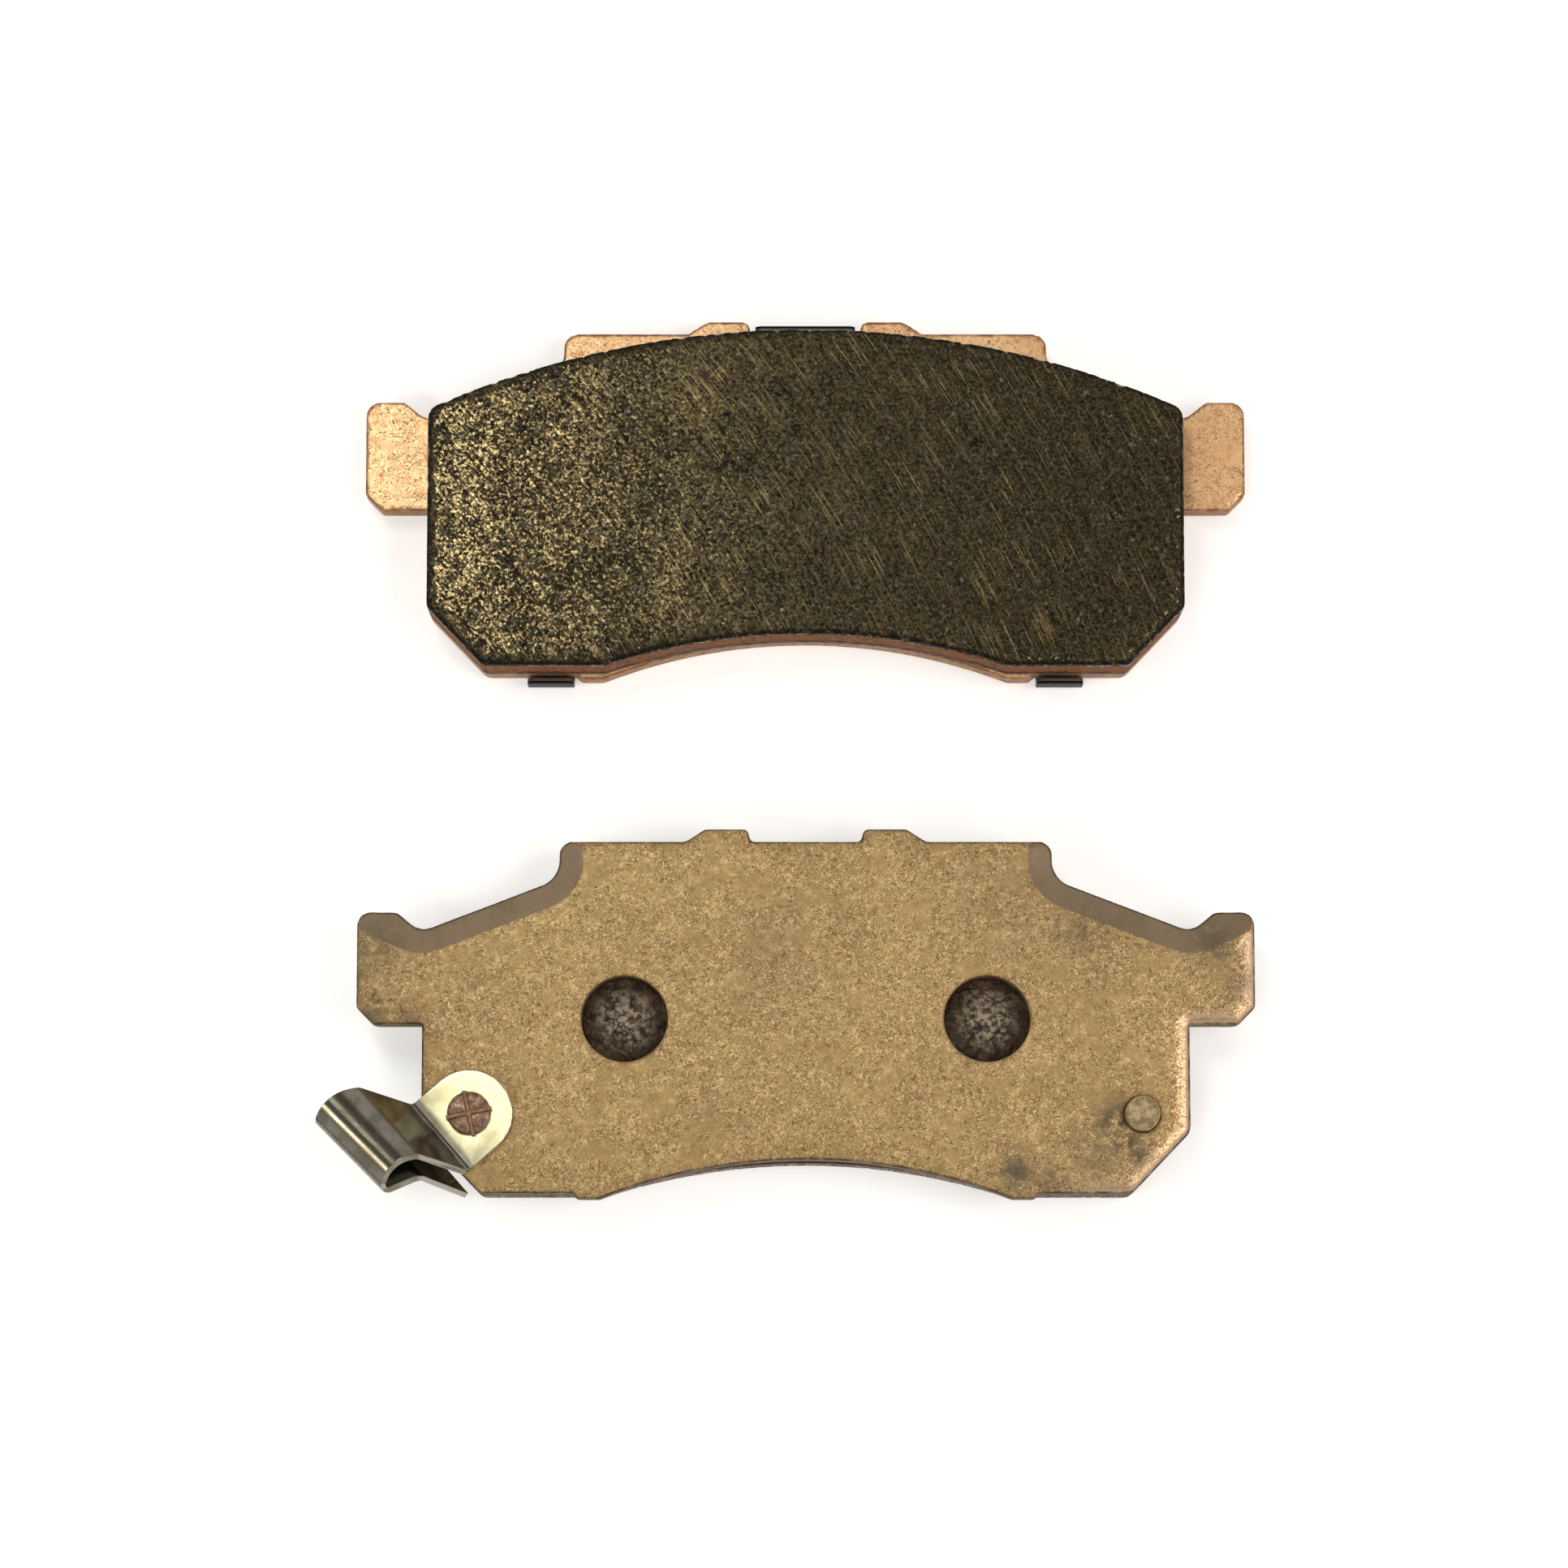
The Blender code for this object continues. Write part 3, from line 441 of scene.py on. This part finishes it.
def spring_steel():
    """Yellow-passivated spring steel: bright on the flat tab, darker on the bends (partly tarnishing, partly
    a painted dark reflection), dull where sheared, and painted shade within the loop.
    """
    f = Finish("spring_steel")
    stain = f.noise(2.6 * MM, detail=4.0, roughness=0.6)
    fine = f.noise(0.22 * MM, detail=3.0)
    colour = f.mix(f.band(stain, 0.35, 0.7), srgb(250, 243, 202), srgb(238, 229, 184))
    across = f.vector("DOT_PRODUCT", f.place, LOOP_SIDE.to_3d(), output="Value")
    # The bends and the tab near its bend darken: partly tarnishing, partly a painted reflection of the darker
    # web.
    bend = f.math("MAXIMUM", f.mask("bend"), f.band(across, *TAB_BEND))
    tarnish_and_dark_reflection = f.mix(f.band(stain, 0.36, 0.68), srgb(132, 128, 114), srgb(110, 103, 88))
    colour = f.mix(bend, colour, tarnish_and_dark_reflection)
    colour = f.mix(f.band(fine, 0.64, 0.76, 0.0, 0.35), colour, srgb(120, 108, 78))
    colour = f.mix(f.mask("sheared"), colour, srgb(150, 147, 138))
    # Painted shade within the loop.
    colour = f.mix(f.mask("painted_loop_shade"), colour, srgb(52, 48, 40))
    f.set(Base_Color=colour, Metallic=f.math("SUBTRACT", 1.0, f.math("MULTIPLY", bend, 0.15)))
    f.set(Roughness=f.math("ADD", f.band(stain, 0.3, 0.7, 0.18, 0.24), f.math("MULTIPLY", bend, -0.05)))
    f.set(Normal=f.bump(f.math("ADD", fine, stain), 0.02 * MM, 0.12))
    return f.material


def rivet_coat():
    """Brown paint on the staked rivet, rubbed to dull copper on its ridges, with painted shade in the grooves
    beside them.
    """
    f = Finish("rivet_coat")
    lumps = f.noise(0.7 * MM, detail=5.0, roughness=0.65)
    colour = f.mix(f.band(lumps, 0.35, 0.65), srgb(92, 70, 55), srgb(150, 124, 102))
    ridge = f.mask("ridge")
    # Darker in the grooves beside the ridges: painted shade.
    groove_shade = f.math("MULTIPLY", f.band(ridge, 0.02, 0.20), f.band(ridge, 0.85, 0.45))
    colour = f.mix(f.math("MULTIPLY", groove_shade, 0.8), colour, srgb(48, 30, 21))
    rubbed = f.math("MULTIPLY", f.band(ridge, 0.55, 0.95), f.band(lumps, 0.30, 0.6, 0.4, 0.95))
    colour = f.mix(rubbed, colour, srgb(132, 96, 70))
    f.set(Base_Color=colour, Metallic=0.6, Roughness=f.band(lumps, 0.3, 0.7, 0.46, 0.30))
    f.set(Normal=f.bump(lumps, 0.06 * MM, 0.6))
    return f.material


def shim_coat():
    """Black rubber coat on both sides of the shim's sheet; the cut edge shows the steel between."""
    f = Finish("shim_coat")
    grain = f.noise(0.35 * MM, detail=4.0, roughness=0.6)
    scuffs = f.noise(3.0 * MM, detail=4.0)
    colour = f.mix(f.band(grain, 0.3, 0.7), srgb(8, 8, 9), srgb(20, 20, 20))
    colour = f.mix(f.band(scuffs, 0.58, 0.78, 0.0, 0.3), colour, srgb(44, 44, 42))
    depth = f.mask("depth")
    core = f.math("MULTIPLY", f.band(depth, 0.22, 0.34), f.band(depth, 0.78, 0.66))
    colour = f.mix(core, colour, srgb(104, 101, 95))
    f.set(Base_Color=colour, Metallic=f.math("MULTIPLY", core, 0.8), Roughness=0.45)
    f.set(Specular_IOR_Level=0.06)
    f.set(Normal=f.bump(grain, 0.03 * MM, 0.5))
    return f.material


# Sculpting


def copy_of(node):
    """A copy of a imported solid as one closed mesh, in an object of its own."""
    bm = bmesh.new()
    bm.from_mesh(NODES[node].data)
    bmesh.ops.remove_doubles(bm, verts=bm.verts, dist=WELD)
    return add_mesh(node + "_look", bm)


def add_mesh(name, bm):
    """An object made of the given mesh."""
    mesh = bpy.data.meshes.new(name)
    bm.to_mesh(mesh)
    bm.free()
    made = bpy.data.objects.new(name, mesh)
    bpy.context.scene.collection.objects.link(made)
    return made


def settle(made):
    """Turns an object's modifiers into its mesh."""
    graph = bpy.context.evaluated_depsgraph_get()
    mesh = bpy.data.meshes.new_from_object(made.evaluated_get(graph))
    made.modifiers.clear()
    made.data = mesh


def remesh(made, voxel):
    """Rebuilds a solid from small even faces."""
    modifier = made.modifiers.new("voxels", "REMESH")
    modifier.mode = "VOXEL"
    modifier.voxel_size = voxel
    settle(made)


def thin_out(made, share):
    """Keeps a share of the faces, most of them where the surface bends."""
    modifier = made.modifiers.new("fewer_faces", "DECIMATE")
    modifier.ratio = share
    settle(made)


def soften_edges(made, width):
    """Rounds the sharp edges of a sheet-metal piece."""
    modifier = made.modifiers.new("edges", "BEVEL")
    modifier.width = width
    modifier.segments = 2
    modifier.limit_method = "ANGLE"
    modifier.angle_limit = SHEET_CORNER
    settle(made)


def points_of(made):
    """The mesh's points and their normals, as arrays."""
    count = len(made.data.vertices)
    points = np.empty(count * 3)
    normals = np.empty(count * 3)
    made.data.vertices.foreach_get("co", points)
    made.data.vertex_normals.foreach_get("vector", normals)
    return points.reshape(-1, 3), normals.reshape(-1, 3)


def move_points(made, points):
    """Puts the mesh's points where they are told."""
    made.data.vertices.foreach_set("co", points.ravel())
    made.data.update()


def set_mask(made, name, values, where="POINT"):
    """Stores a value at each point or face, for the materials."""
    layer = made.data.attributes.new(name, "FLOAT", where)
    layer.data.foreach_set("value", np.ascontiguousarray(values, dtype=np.float32))


def bumps(points, size, seed=0.0):
    """Smooth noise between -1 and 1 at each point."""
    shift = Vector((seed, seed * 2.0, seed * 3.0))
    return np.array([noise.noise(Vector(p) / size + shift) for p in points])


def step(values, low, high):
    """A smooth step from 0 to 1 between two values."""
    share = np.clip((values - low) / (high - low), 0.0, 1.0)
    return share * share * (3.0 - 2.0 * share)


def surface(node, keep=lambda face: True):
    """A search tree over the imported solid's faces that are to be kept."""
    bm = bmesh.new()
    bm.from_mesh(NODES[node].data)
    bmesh.ops.remove_doubles(bm, verts=bm.verts, dist=WELD)
    bm.normal_update()
    places = [vert.co.copy() for vert in bm.verts]
    faces = [[vert.index for vert in face.verts] for face in bm.faces if keep(face)]
    bm.free()
    return BVHTree.FromPolygons(places, faces)


def is_wall(face):
    """Whether a face stands upright."""
    return abs(face.normal.z) < WALL_SLOPE


def stud_bores():
    """Centre and radius of the inner plate's bores for the rivet and the stud."""
    bores = []
    for node in ("wear_indicator_rivet", "spare_stud"):
        low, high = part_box(node)
        bores.append(((low.xy + high.xy) / 2.0, (high.x - low.x) / 2.0 + STUD_ROOM))
    return bores


def gaps_to(tree, points):
    """Distance from each point to the nearest face of the tree."""
    return np.array([tree.find_nearest(Vector(p))[3] for p in points])


def falls_below(tree, points, level, up):
    """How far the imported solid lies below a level, seen along the way that its face looks."""
    ray = Vector((0.0, 0.0, -up))
    falls = []
    for x, y, _ in points:
        hit = tree.ray_cast(Vector((x, y, level + up * MM)), ray)[0]
        falls.append(up * (level - hit.z) if hit else 0.0)
    return np.array(falls)


def finish_piece(made, node, body, material, sharp=math.radians(180.0)):
    """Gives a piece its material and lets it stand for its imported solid."""
    made.data.materials.clear()
    made.data.materials.append(material)
    made.data.shade_smooth()
    if sharp < math.pi:
        made.data.set_sharp_from_angle(angle=sharp)
    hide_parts(node)
    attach(made, body)


# Pieces


def backing_plate(node, body, material, up):
    """A stamped plate whose back face, looking up or down, falls away softly along every edge."""
    made = copy_of(node)
    remesh(made, PLATE_VOXEL)
    solid = surface(node)
    bores = stud_bores()

    def is_edge(face):
        place = face.calc_center_median().xy
        return is_wall(face) and all((place - centre).length > radius for centre, radius in bores)

    walls = surface(node, is_edge)
    holes = plug_rims() if up > 0.0 else []
    low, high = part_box(node)
    level = high.z if up > 0.0 else low.z

    def roll(points):
        """How far the back face falls, the way to the nearest edge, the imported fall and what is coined."""
        gaps = gaps_to(walls, points)
        falls = falls_below(solid, points, level, up)
        packed_roll = CAD_ROLL[1] * np.clip(1.0 - gaps / CAD_ROLL[0], 0.0, 1.0)
        coined = step(falls - packed_roll, 0.3 * COINED_FALL, COINED_FALL)
        reach = np.full(len(points), ROLL_REACH)
        fall = ROLL_FALL * (1.0 - coined)
        for centre, radius in holes:
            near_hole = np.hypot(points[:, 0] - centre.x, points[:, 1] - centre.y) < radius + ROLL_REACH
            reach[near_hole] = HOLE_ROLL_REACH
            fall[near_hole] = HOLE_ROLL_FALL
        return fall * np.clip(1.0 - gaps / reach, 0.0, 1.0) ** 2, gaps, falls, coined

    points, normals = points_of(made)
    drop, _, falls, _ = roll(points)
    below = np.clip(up * (level - points[:, 2]) - falls, 0.0, ROLL_DEPTH)
    points[:, 2] -= up * drop * (1.0 - below / ROLL_DEPTH)
    points += normals * (bumps(points, 7.0 * MM) * 0.02 * MM)[:, None]
    move_points(made, points)
    thin_out(made, PLATE_FACES_KEPT)

    points, normals = points_of(made)
    drop, gaps, falls, coined = roll(points)
    below = np.abs(up * (level - points[:, 2]) - falls - drop)
    facing = normals[:, 2] * up
    # rim: a dark line along the edges, partly worn paint and partly painted shade
    rim = np.clip(1.0 - (gaps + below) / RIM_LINE, 0.0, 1.0)
    # lighter rubbed edges, mostly at the pad's right end: partly worn paint, partly a painted highlight
    polish_and_highlight = np.clip(1.0 - gaps / POLISH_AND_HIGHLIGHT_REACH, 0.0, 1.0) * (facing > 0.3) * (1.0 - coined)
    polish_and_highlight *= np.maximum(step(points[:, 0], POLISH_AND_HIGHLIGHT_FROM, POLISH_AND_HIGHLIGHT_FULL), POLISH_AND_HIGHLIGHT_LEAST)
    smudge_and_shade = np.zeros(len(points))
    for centre, radius in holes:
        near_hole = np.hypot(points[:, 0] - centre.x, points[:, 1] - centre.y) < radius + POLISH_AND_HIGHLIGHT_REACH
        polish_and_highlight[near_hole] = 0.6 * rim[near_hole] * (facing[near_hole] > 0.2)
        rim[near_hole] = 0.0
    rim = np.maximum(rim, np.clip(1.0 - gaps / RIM_LINE, 0.0, 1.0) * (facing < -0.3))
    # Dark marks on the back: soot and handling marks, with painted shadow beside the stud and painted shade
    # along the left ear.
    if up > 0.0:
        for x, y, radius, strength in SMUDGES_AND_SHADE:
            away = np.hypot(points[:, 0] - x * MM, points[:, 1] - y * MM) / (radius * MM)
            smudge_and_shade = np.maximum(smudge_and_shade, strength * np.exp(-(away**2)))
    set_mask(made, "rim", rim)
    set_mask(made, "side", step(np.abs(facing), 0.5, 0.2))
    set_mask(made, "polish_and_highlight", polish_and_highlight)
    set_mask(made, "smudge_and_shade", smudge_and_shade)
    set_mask(made, "coined", coined * (facing > 0.3))
    finish_piece(made, node, body, material)


def friction_block(node, body, material, up):
    """A lining whose ground face, looking up or down, has chipped edges above rough side walls."""
    made = copy_of(node)
    remesh(made, LINING_VOXEL)
    points, normals = points_of(made)
    walls = surface(node, is_wall)
    low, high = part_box(node)
    level = high.z if up > 0.0 else low.z
    depth = up * (level - points[:, 2])
    near = np.clip(1.0 - (depth + gaps_to(walls, points)) / CHIP_REACH, 0.0, 1.0)
    coarse = bumps(points, COARSE_CHIP)
    fine = bumps(points, FINE_CHIP, seed=7.0)
    chips = near * (0.10 + 1.10 * np.clip(1.5 * coarse + 0.7 * fine - 0.1, 0.0, 1.0))
    rough = np.where(np.abs(normals[:, 2]) < 0.6, 0.10 * np.clip(fine + coarse, 0.0, 1.0), 0.0)
    pits = 0.05 * np.clip(fine - 0.3, 0.0, 1.0)
    points -= normals * ((chips + rough + pits) * MM)[:, None]
    move_points(made, points)
    thin_out(made, FACES_KEPT)

    points, normals = points_of(made)
    depth = up * (level - points[:, 2])
    ragged = depth + bumps(points, COARSE_CHIP, seed=3.0) * 0.5 * MM
    # The inner lining's walls keep less coat and so read darker: painted shade.
    coat = 1.0 if up > 0.0 else SHADED_INNER_COAT
    set_mask(made, "wall", coat * step(ragged, COAT_START - COAT_FADE, COAT_START + COAT_FADE))
    set_mask(made, "edge", np.clip(1.0 - (depth + gaps_to(walls, points)) / CHIP_REACH, 0.0, 1.0))
    finish_piece(made, node, body, material)


def plug_face(bm, centre, radius, level):
    """A cracked, lumpy disc that closes a moulding hole a little below its packed level."""
    rings, spokes = PLUG_RINGS, PLUG_SPOKES
    crack_layer = bm.verts.layers.float["crack"]
    ash_layer = bm.verts.layers.float["ash"]
    rows = []
    for ring in range(rings + 2):
        share = min(1.0, ring / rings)
        row = []
        for spoke in range(spokes):
            angle = math.tau * spoke / spokes
            x = centre.x + radius * share * math.cos(angle)
            y = centre.y + radius * share * math.sin(angle)
            place = Vector((x, y, 0.0)) / MM
            bend = Vector((noise.noise(place * 1.2), noise.noise(place * 1.2 + UP_AXIS * 9.0), 0.0)) * 0.35
            cells = noise.voronoi(place / CRACK_CELL + bend)[0]
            crack = 1.0 - min(1.0, (cells[1] - cells[0]) / CRACK_WIDTH)
            crack *= min(1.0, max(0.0, 0.75 + 1.6 * noise.noise(place * 0.45 + UP_AXIS * 4.0)))
            tilt = noise.noise(place * 0.9 + UP_AXIS * 2.0)
            lumps = noise.noise(place * 0.45) * 0.20 + tilt * 0.10 + noise.noise(place * 2.6) * 0.05
            z = level - PLUG_SINK * share**6 + (lumps - CRACK_DEPTH * crack) * MM
            if ring > rings:
                z = level - 2.0 * PLUG_SINK
            vert = bm.verts.new((x, y, z))
            vert[crack_layer] = crack
            vert[ash_layer] = max(0.0, 1.0 - (share / ASH_REACH) ** 2)
            row.append(vert)
        rows.append(row)
    for inner, outer in zip(rows, rows[1:]):
        for spoke in range(spokes):
            after = (spoke + 1) % spokes
            bm.faces.new((inner[spoke], outer[spoke], outer[after], inner[after]))
    bmesh.ops.remove_doubles(bm, verts=rows[0], dist=WELD)


def plug_rims():
    """Centre and radius of the two plugs that show in the inner plate's holes."""
    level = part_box("inner_underlayer")[1].z
    places = [vert.co.copy() for vert in NODES["inner_underlayer"].data.vertices]
    ends = [place for place in places if level - place.z < PLUG_BAND]
    rims = []
    for side in (UP, DOWN):
        rim = [place for place in ends if place.x * side > 0.0]
        low = Vector(map(min, zip(*rim)))
        high = Vector(map(max, zip(*rim)))
        rims.append(((low + high) / 2.0, (high.x - low.x) / 2.0))
    return rims


def inner_underlayer(material):
    """The bonding layer of the inner pad, whose plugs show in the plate's holes."""
    node = "inner_underlayer"
    bm = bmesh.new()
    bm.from_mesh(NODES[node].data)
    bmesh.ops.remove_doubles(bm, verts=bm.verts, dist=WELD)
    bm.verts.layers.float.new("crack")
    bm.verts.layers.float.new("ash")
    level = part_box(node)[1].z
    for vert in bm.verts:
        if level - vert.co.z < PLUG_BAND:
            vert.co.z -= PLUG_LOWERED
    for centre, radius in plug_rims():
        plug_face(bm, centre, radius, level)
    made = add_mesh(node + "_look", bm)
    finish_piece(made, node, "inner_pad", material, sharp=PLUG_CREASE)


def flat_normals(made):
    """Lets large faces keep their own direction, so that a flat sheet looks flat up to its rounded edge."""
    totals = np.zeros((len(made.data.vertices), 3))
    for face in made.data.polygons:
        totals[list(face.vertices)] += np.array(face.normal) * face.area
    made.data.normals_split_custom_set_from_vertices([Vector(total).normalized() for total in totals])


def wear_indicator(material):
    """The bent strip, with its sheared edges broken; a face is sheared where much metal lies behind it."""
    node = "wear_indicator"
    made = copy_of(node)
    soften_edges(made, SHEET_EDGE)
    solid = surface(node)
    middle = [sum(ends) / 2.0 for ends in zip(*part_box("wear_indicator_rivet"))]
    nose = max(vert.co.xy.dot(LOOP_SIDE) for vert in made.data.vertices)
    sheared, painted_loop_shade = [], []
    for face in made.data.polygons:
        behind = solid.ray_cast(face.center - face.normal * SHEET_EDGE, -face.normal)[3]
        ahead = solid.ray_cast(face.center + face.normal * SHEET_EDGE, face.normal)[3]
        sheared.append(1.0 if behind and behind > SHEET_THICKEST else 0.0)
        # Faces that look into the loop from close by are darkened in the material as painted shade.
        deep = face.normal.z < 0.2 or face.center.xy.dot(LOOP_SIDE) > nose - LOOP_DEEP
        painted_loop_shade.append(1.0 if ahead and ahead < LOOP_WIDEST and deep else 0.0)
    set_mask(made, "sheared", sheared, "FACE")
    set_mask(made, "painted_loop_shade", painted_loop_shade, "FACE")
    points, _ = points_of(made)
    away = np.hypot(points[:, 0] - middle[0], points[:, 1] - middle[1])
    set_mask(made, "bend", step(away, TAB_RADIUS, TAB_RADIUS + TAB_FADE))
    finish_piece(made, node, "inner_pad", material)
    flat_normals(made)


def indicator_rivet(material):
    """The staked rivet, hammered and uneven."""
    node = "wear_indicator_rivet"
    made = copy_of(node)
    remesh(made, RIVET_VOXEL)
    points, normals = points_of(made)
    dents = bumps(points, 0.9 * MM) * 0.07 + bumps(points, 0.35 * MM, seed=4.0) * 0.03
    points += normals * (dents * MM)[:, None]
    move_points(made, points)
    thin_out(made, FACES_KEPT)
    points, _ = points_of(made)
    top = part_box(node)[1].z
    set_mask(made, "ridge", step(points[:, 2], top - RIDGE_FOOT, top - RIDGE_FULL))
    finish_piece(made, node, "inner_pad", material)


def spare_stud(material):
    """The plain stud, with a rounded and slightly uneven end."""
    node = "spare_stud"
    made = copy_of(node)
    remesh(made, STUD_VOXEL)
    points, normals = points_of(made)
    points += normals * (bumps(points, 1.2 * MM) * 0.05 * MM)[:, None]
    move_points(made, points)
    thin_out(made, FACES_KEPT)
    points, normals = points_of(made)
    set_mask(made, "rubbed", step(normals[:, 2], 0.75, 0.95))
    # The stud's sides take the plate's dark edge colour: painted shade.
    set_mask(made, "rim", 0.35 * step(normals[:, 2], 0.6, 0.2))
    finish_piece(made, node, "inner_pad", material)


def outer_shim(material):
    """The clip-on shim: its masks tell the coats on both sides from the steel between."""
    made = copy_of("outer_shim")
    soften_edges(made, SHEET_EDGE)
    points, _ = points_of(made)
    gaps = gaps_to(surface("outer_backing_plate"), points)
    set_mask(made, "depth", np.clip((gaps - gaps.min()) / SHIM_THICKNESS, 0.0, 1.0))
    finish_piece(made, "outer_shim", "outer_shim", material, sharp=SHIM_CREASE)


# Studio


def area_light(name, place, target, size, power, colour):
    """A soft box that faces a target."""
    lamp = bpy.data.lights.new(name, "AREA")
    lamp.shape = "RECTANGLE"
    lamp.size, lamp.size_y = size
    lamp.energy = power
    lamp.color = colour
    made = bpy.data.objects.new(name, lamp)
    bpy.context.scene.collection.objects.link(made)
    made.location = place
    made.rotation_euler = (Vector(target) - Vector(place)).to_track_quat("-Z", "Y").to_euler()


def studio():
    """White surroundings for the camera; for everything else a ring of light with a dim top and horizon."""
    world = bpy.data.worlds.new("studio")
    bpy.context.scene.world = world
    world.use_nodes = True
    nodes = world.node_tree.nodes
    links = world.node_tree.links
    nodes.clear()
    place = nodes.new("ShaderNodeTexCoord")
    split = nodes.new("ShaderNodeSeparateXYZ")
    links.new(place.outputs["Generated"], split.inputs[0])
    height = nodes.new("ShaderNodeValToRGB")
    height.color_ramp.interpolation = "EASE"
    stops = height.color_ramp.elements
    stops.remove(stops[0])
    stops[0].position, level = SKY[0]
    stops[0].color = (level, level, level, 1.0)
    for at, level in SKY[1:]:
        stops.new(at).color = (level, level, level, 1.0)
    links.new(split.outputs["Z"], height.inputs["Fac"])
    sky = nodes.new("ShaderNodeBackground")
    links.new(height.outputs["Color"], sky.inputs["Color"])
    white = nodes.new("ShaderNodeBackground")
    white.inputs["Color"].default_value = WHITE
    rays = nodes.new("ShaderNodeLightPath")
    both = nodes.new("ShaderNodeMixShader")
    links.new(rays.outputs["Is Camera Ray"], both.inputs[0])
    links.new(sky.outputs[0], both.inputs[1])
    links.new(white.outputs[0], both.inputs[2])
    output = nodes.new("ShaderNodeOutputWorld")
    links.new(both.outputs[0], output.inputs["Surface"])

    for lamp in LAMPS:
        area_light(*lamp)


def floor():
    """A pale floor that shows white to the camera and keeps a soft shadow."""
    bm = bmesh.new()
    bmesh.ops.create_grid(bm, x_segments=1, y_segments=1, size=FLOOR_SIZE / 2)
    made = add_mesh("floor", bm)
    made.location.z = CAD_BOX[0][2] - FLOOR_GAP
    f = Finish("floor_paper")
    f.set(Base_Color=FLOOR_COLOUR, Roughness=0.9, Specular_IOR_Level=0.0)
    f.set(Emission_Color=WHITE)
    rays = f.add("ShaderNodeLightPath")
    seen = f.math("MAXIMUM", rays.outputs["Is Camera Ray"], rays.outputs["Is Glossy Ray"])
    seen = f.math("MAXIMUM", seen, rays.outputs["Is Transmission Ray"])
    f.set(Emission_Strength=f.math("MULTIPLY", seen, FLOOR_GLOW))
    made.data.materials.append(f.material)


def camera():
    """The photograph's viewpoint."""
    lens = bpy.data.cameras.new("camera")
    lens.sensor_width = SENSOR
    lens.lens = FOCAL_PIXELS / PHOTO_PIXELS * SENSOR
    lens.clip_end = CAMERA_SIGHT
    made = bpy.data.objects.new("camera", lens)
    away = Vector((0.0, -math.sin(CAMERA_TILT), math.cos(CAMERA_TILT)))
    made.location = CAMERA_TARGET + away * CAMERA_DISTANCE
    made.rotation_euler = (CAMERA_TILT, 0.0, 0.0)
    bpy.context.scene.collection.objects.link(made)
    bpy.context.scene.camera = made


# Assembly

inner_coat = plate_coat(
    "inner_plate_coat",
    base=srgb(164, 136, 90),
    patch=srgb(154, 127, 83),
    dark=srgb(94, 73, 42),
    light=srgb(224, 196, 144),
    coined=srgb(123, 108, 88),
    pressed=srgb(113, 97, 77),
    # the rubbed edges' colour, partly bare paint and partly a painted highlight
    bare=srgb(222, 192, 162),
    rim=srgb(58, 42, 28),
    metallic=0.25,
    dull=0.50,
    glossy=0.38,
)
outer_coat = plate_coat(
    "outer_plate_coat",
    base=srgb(230, 186, 138),
    patch=srgb(220, 173, 124),
    dark=srgb(124, 84, 52),
    light=srgb(246, 218, 180),
    coined=srgb(150, 112, 76),
    pressed=srgb(158, 110, 74),
    # the rubbed edges' colour, partly bare paint and partly a painted highlight
    bare=srgb(226, 190, 150),
    rim=srgb(128, 78, 42),
    metallic=0.48,
    dull=0.40,
    glossy=0.26,
)
lining_finish = lining()
bond_finish = underlayer()

backing_plate("inner_backing_plate", "inner_pad", inner_coat, UP)
backing_plate("outer_backing_plate", "outer_pad", outer_coat, DOWN)
friction_block("inner_friction_block", "inner_pad", lining_finish, DOWN)
friction_block("outer_friction_block", "outer_pad", lining_finish, UP)
inner_underlayer(bond_finish)
NODES["outer_underlayer"].data.materials.clear()
NODES["outer_underlayer"].data.materials.append(bond_finish)
wear_indicator(spring_steel())
indicator_rivet(rivet_coat())
spare_stud(inner_coat)
outer_shim(shim_coat())

studio()
floor()
camera()
bpy.context.scene.view_settings.view_transform = "Standard"
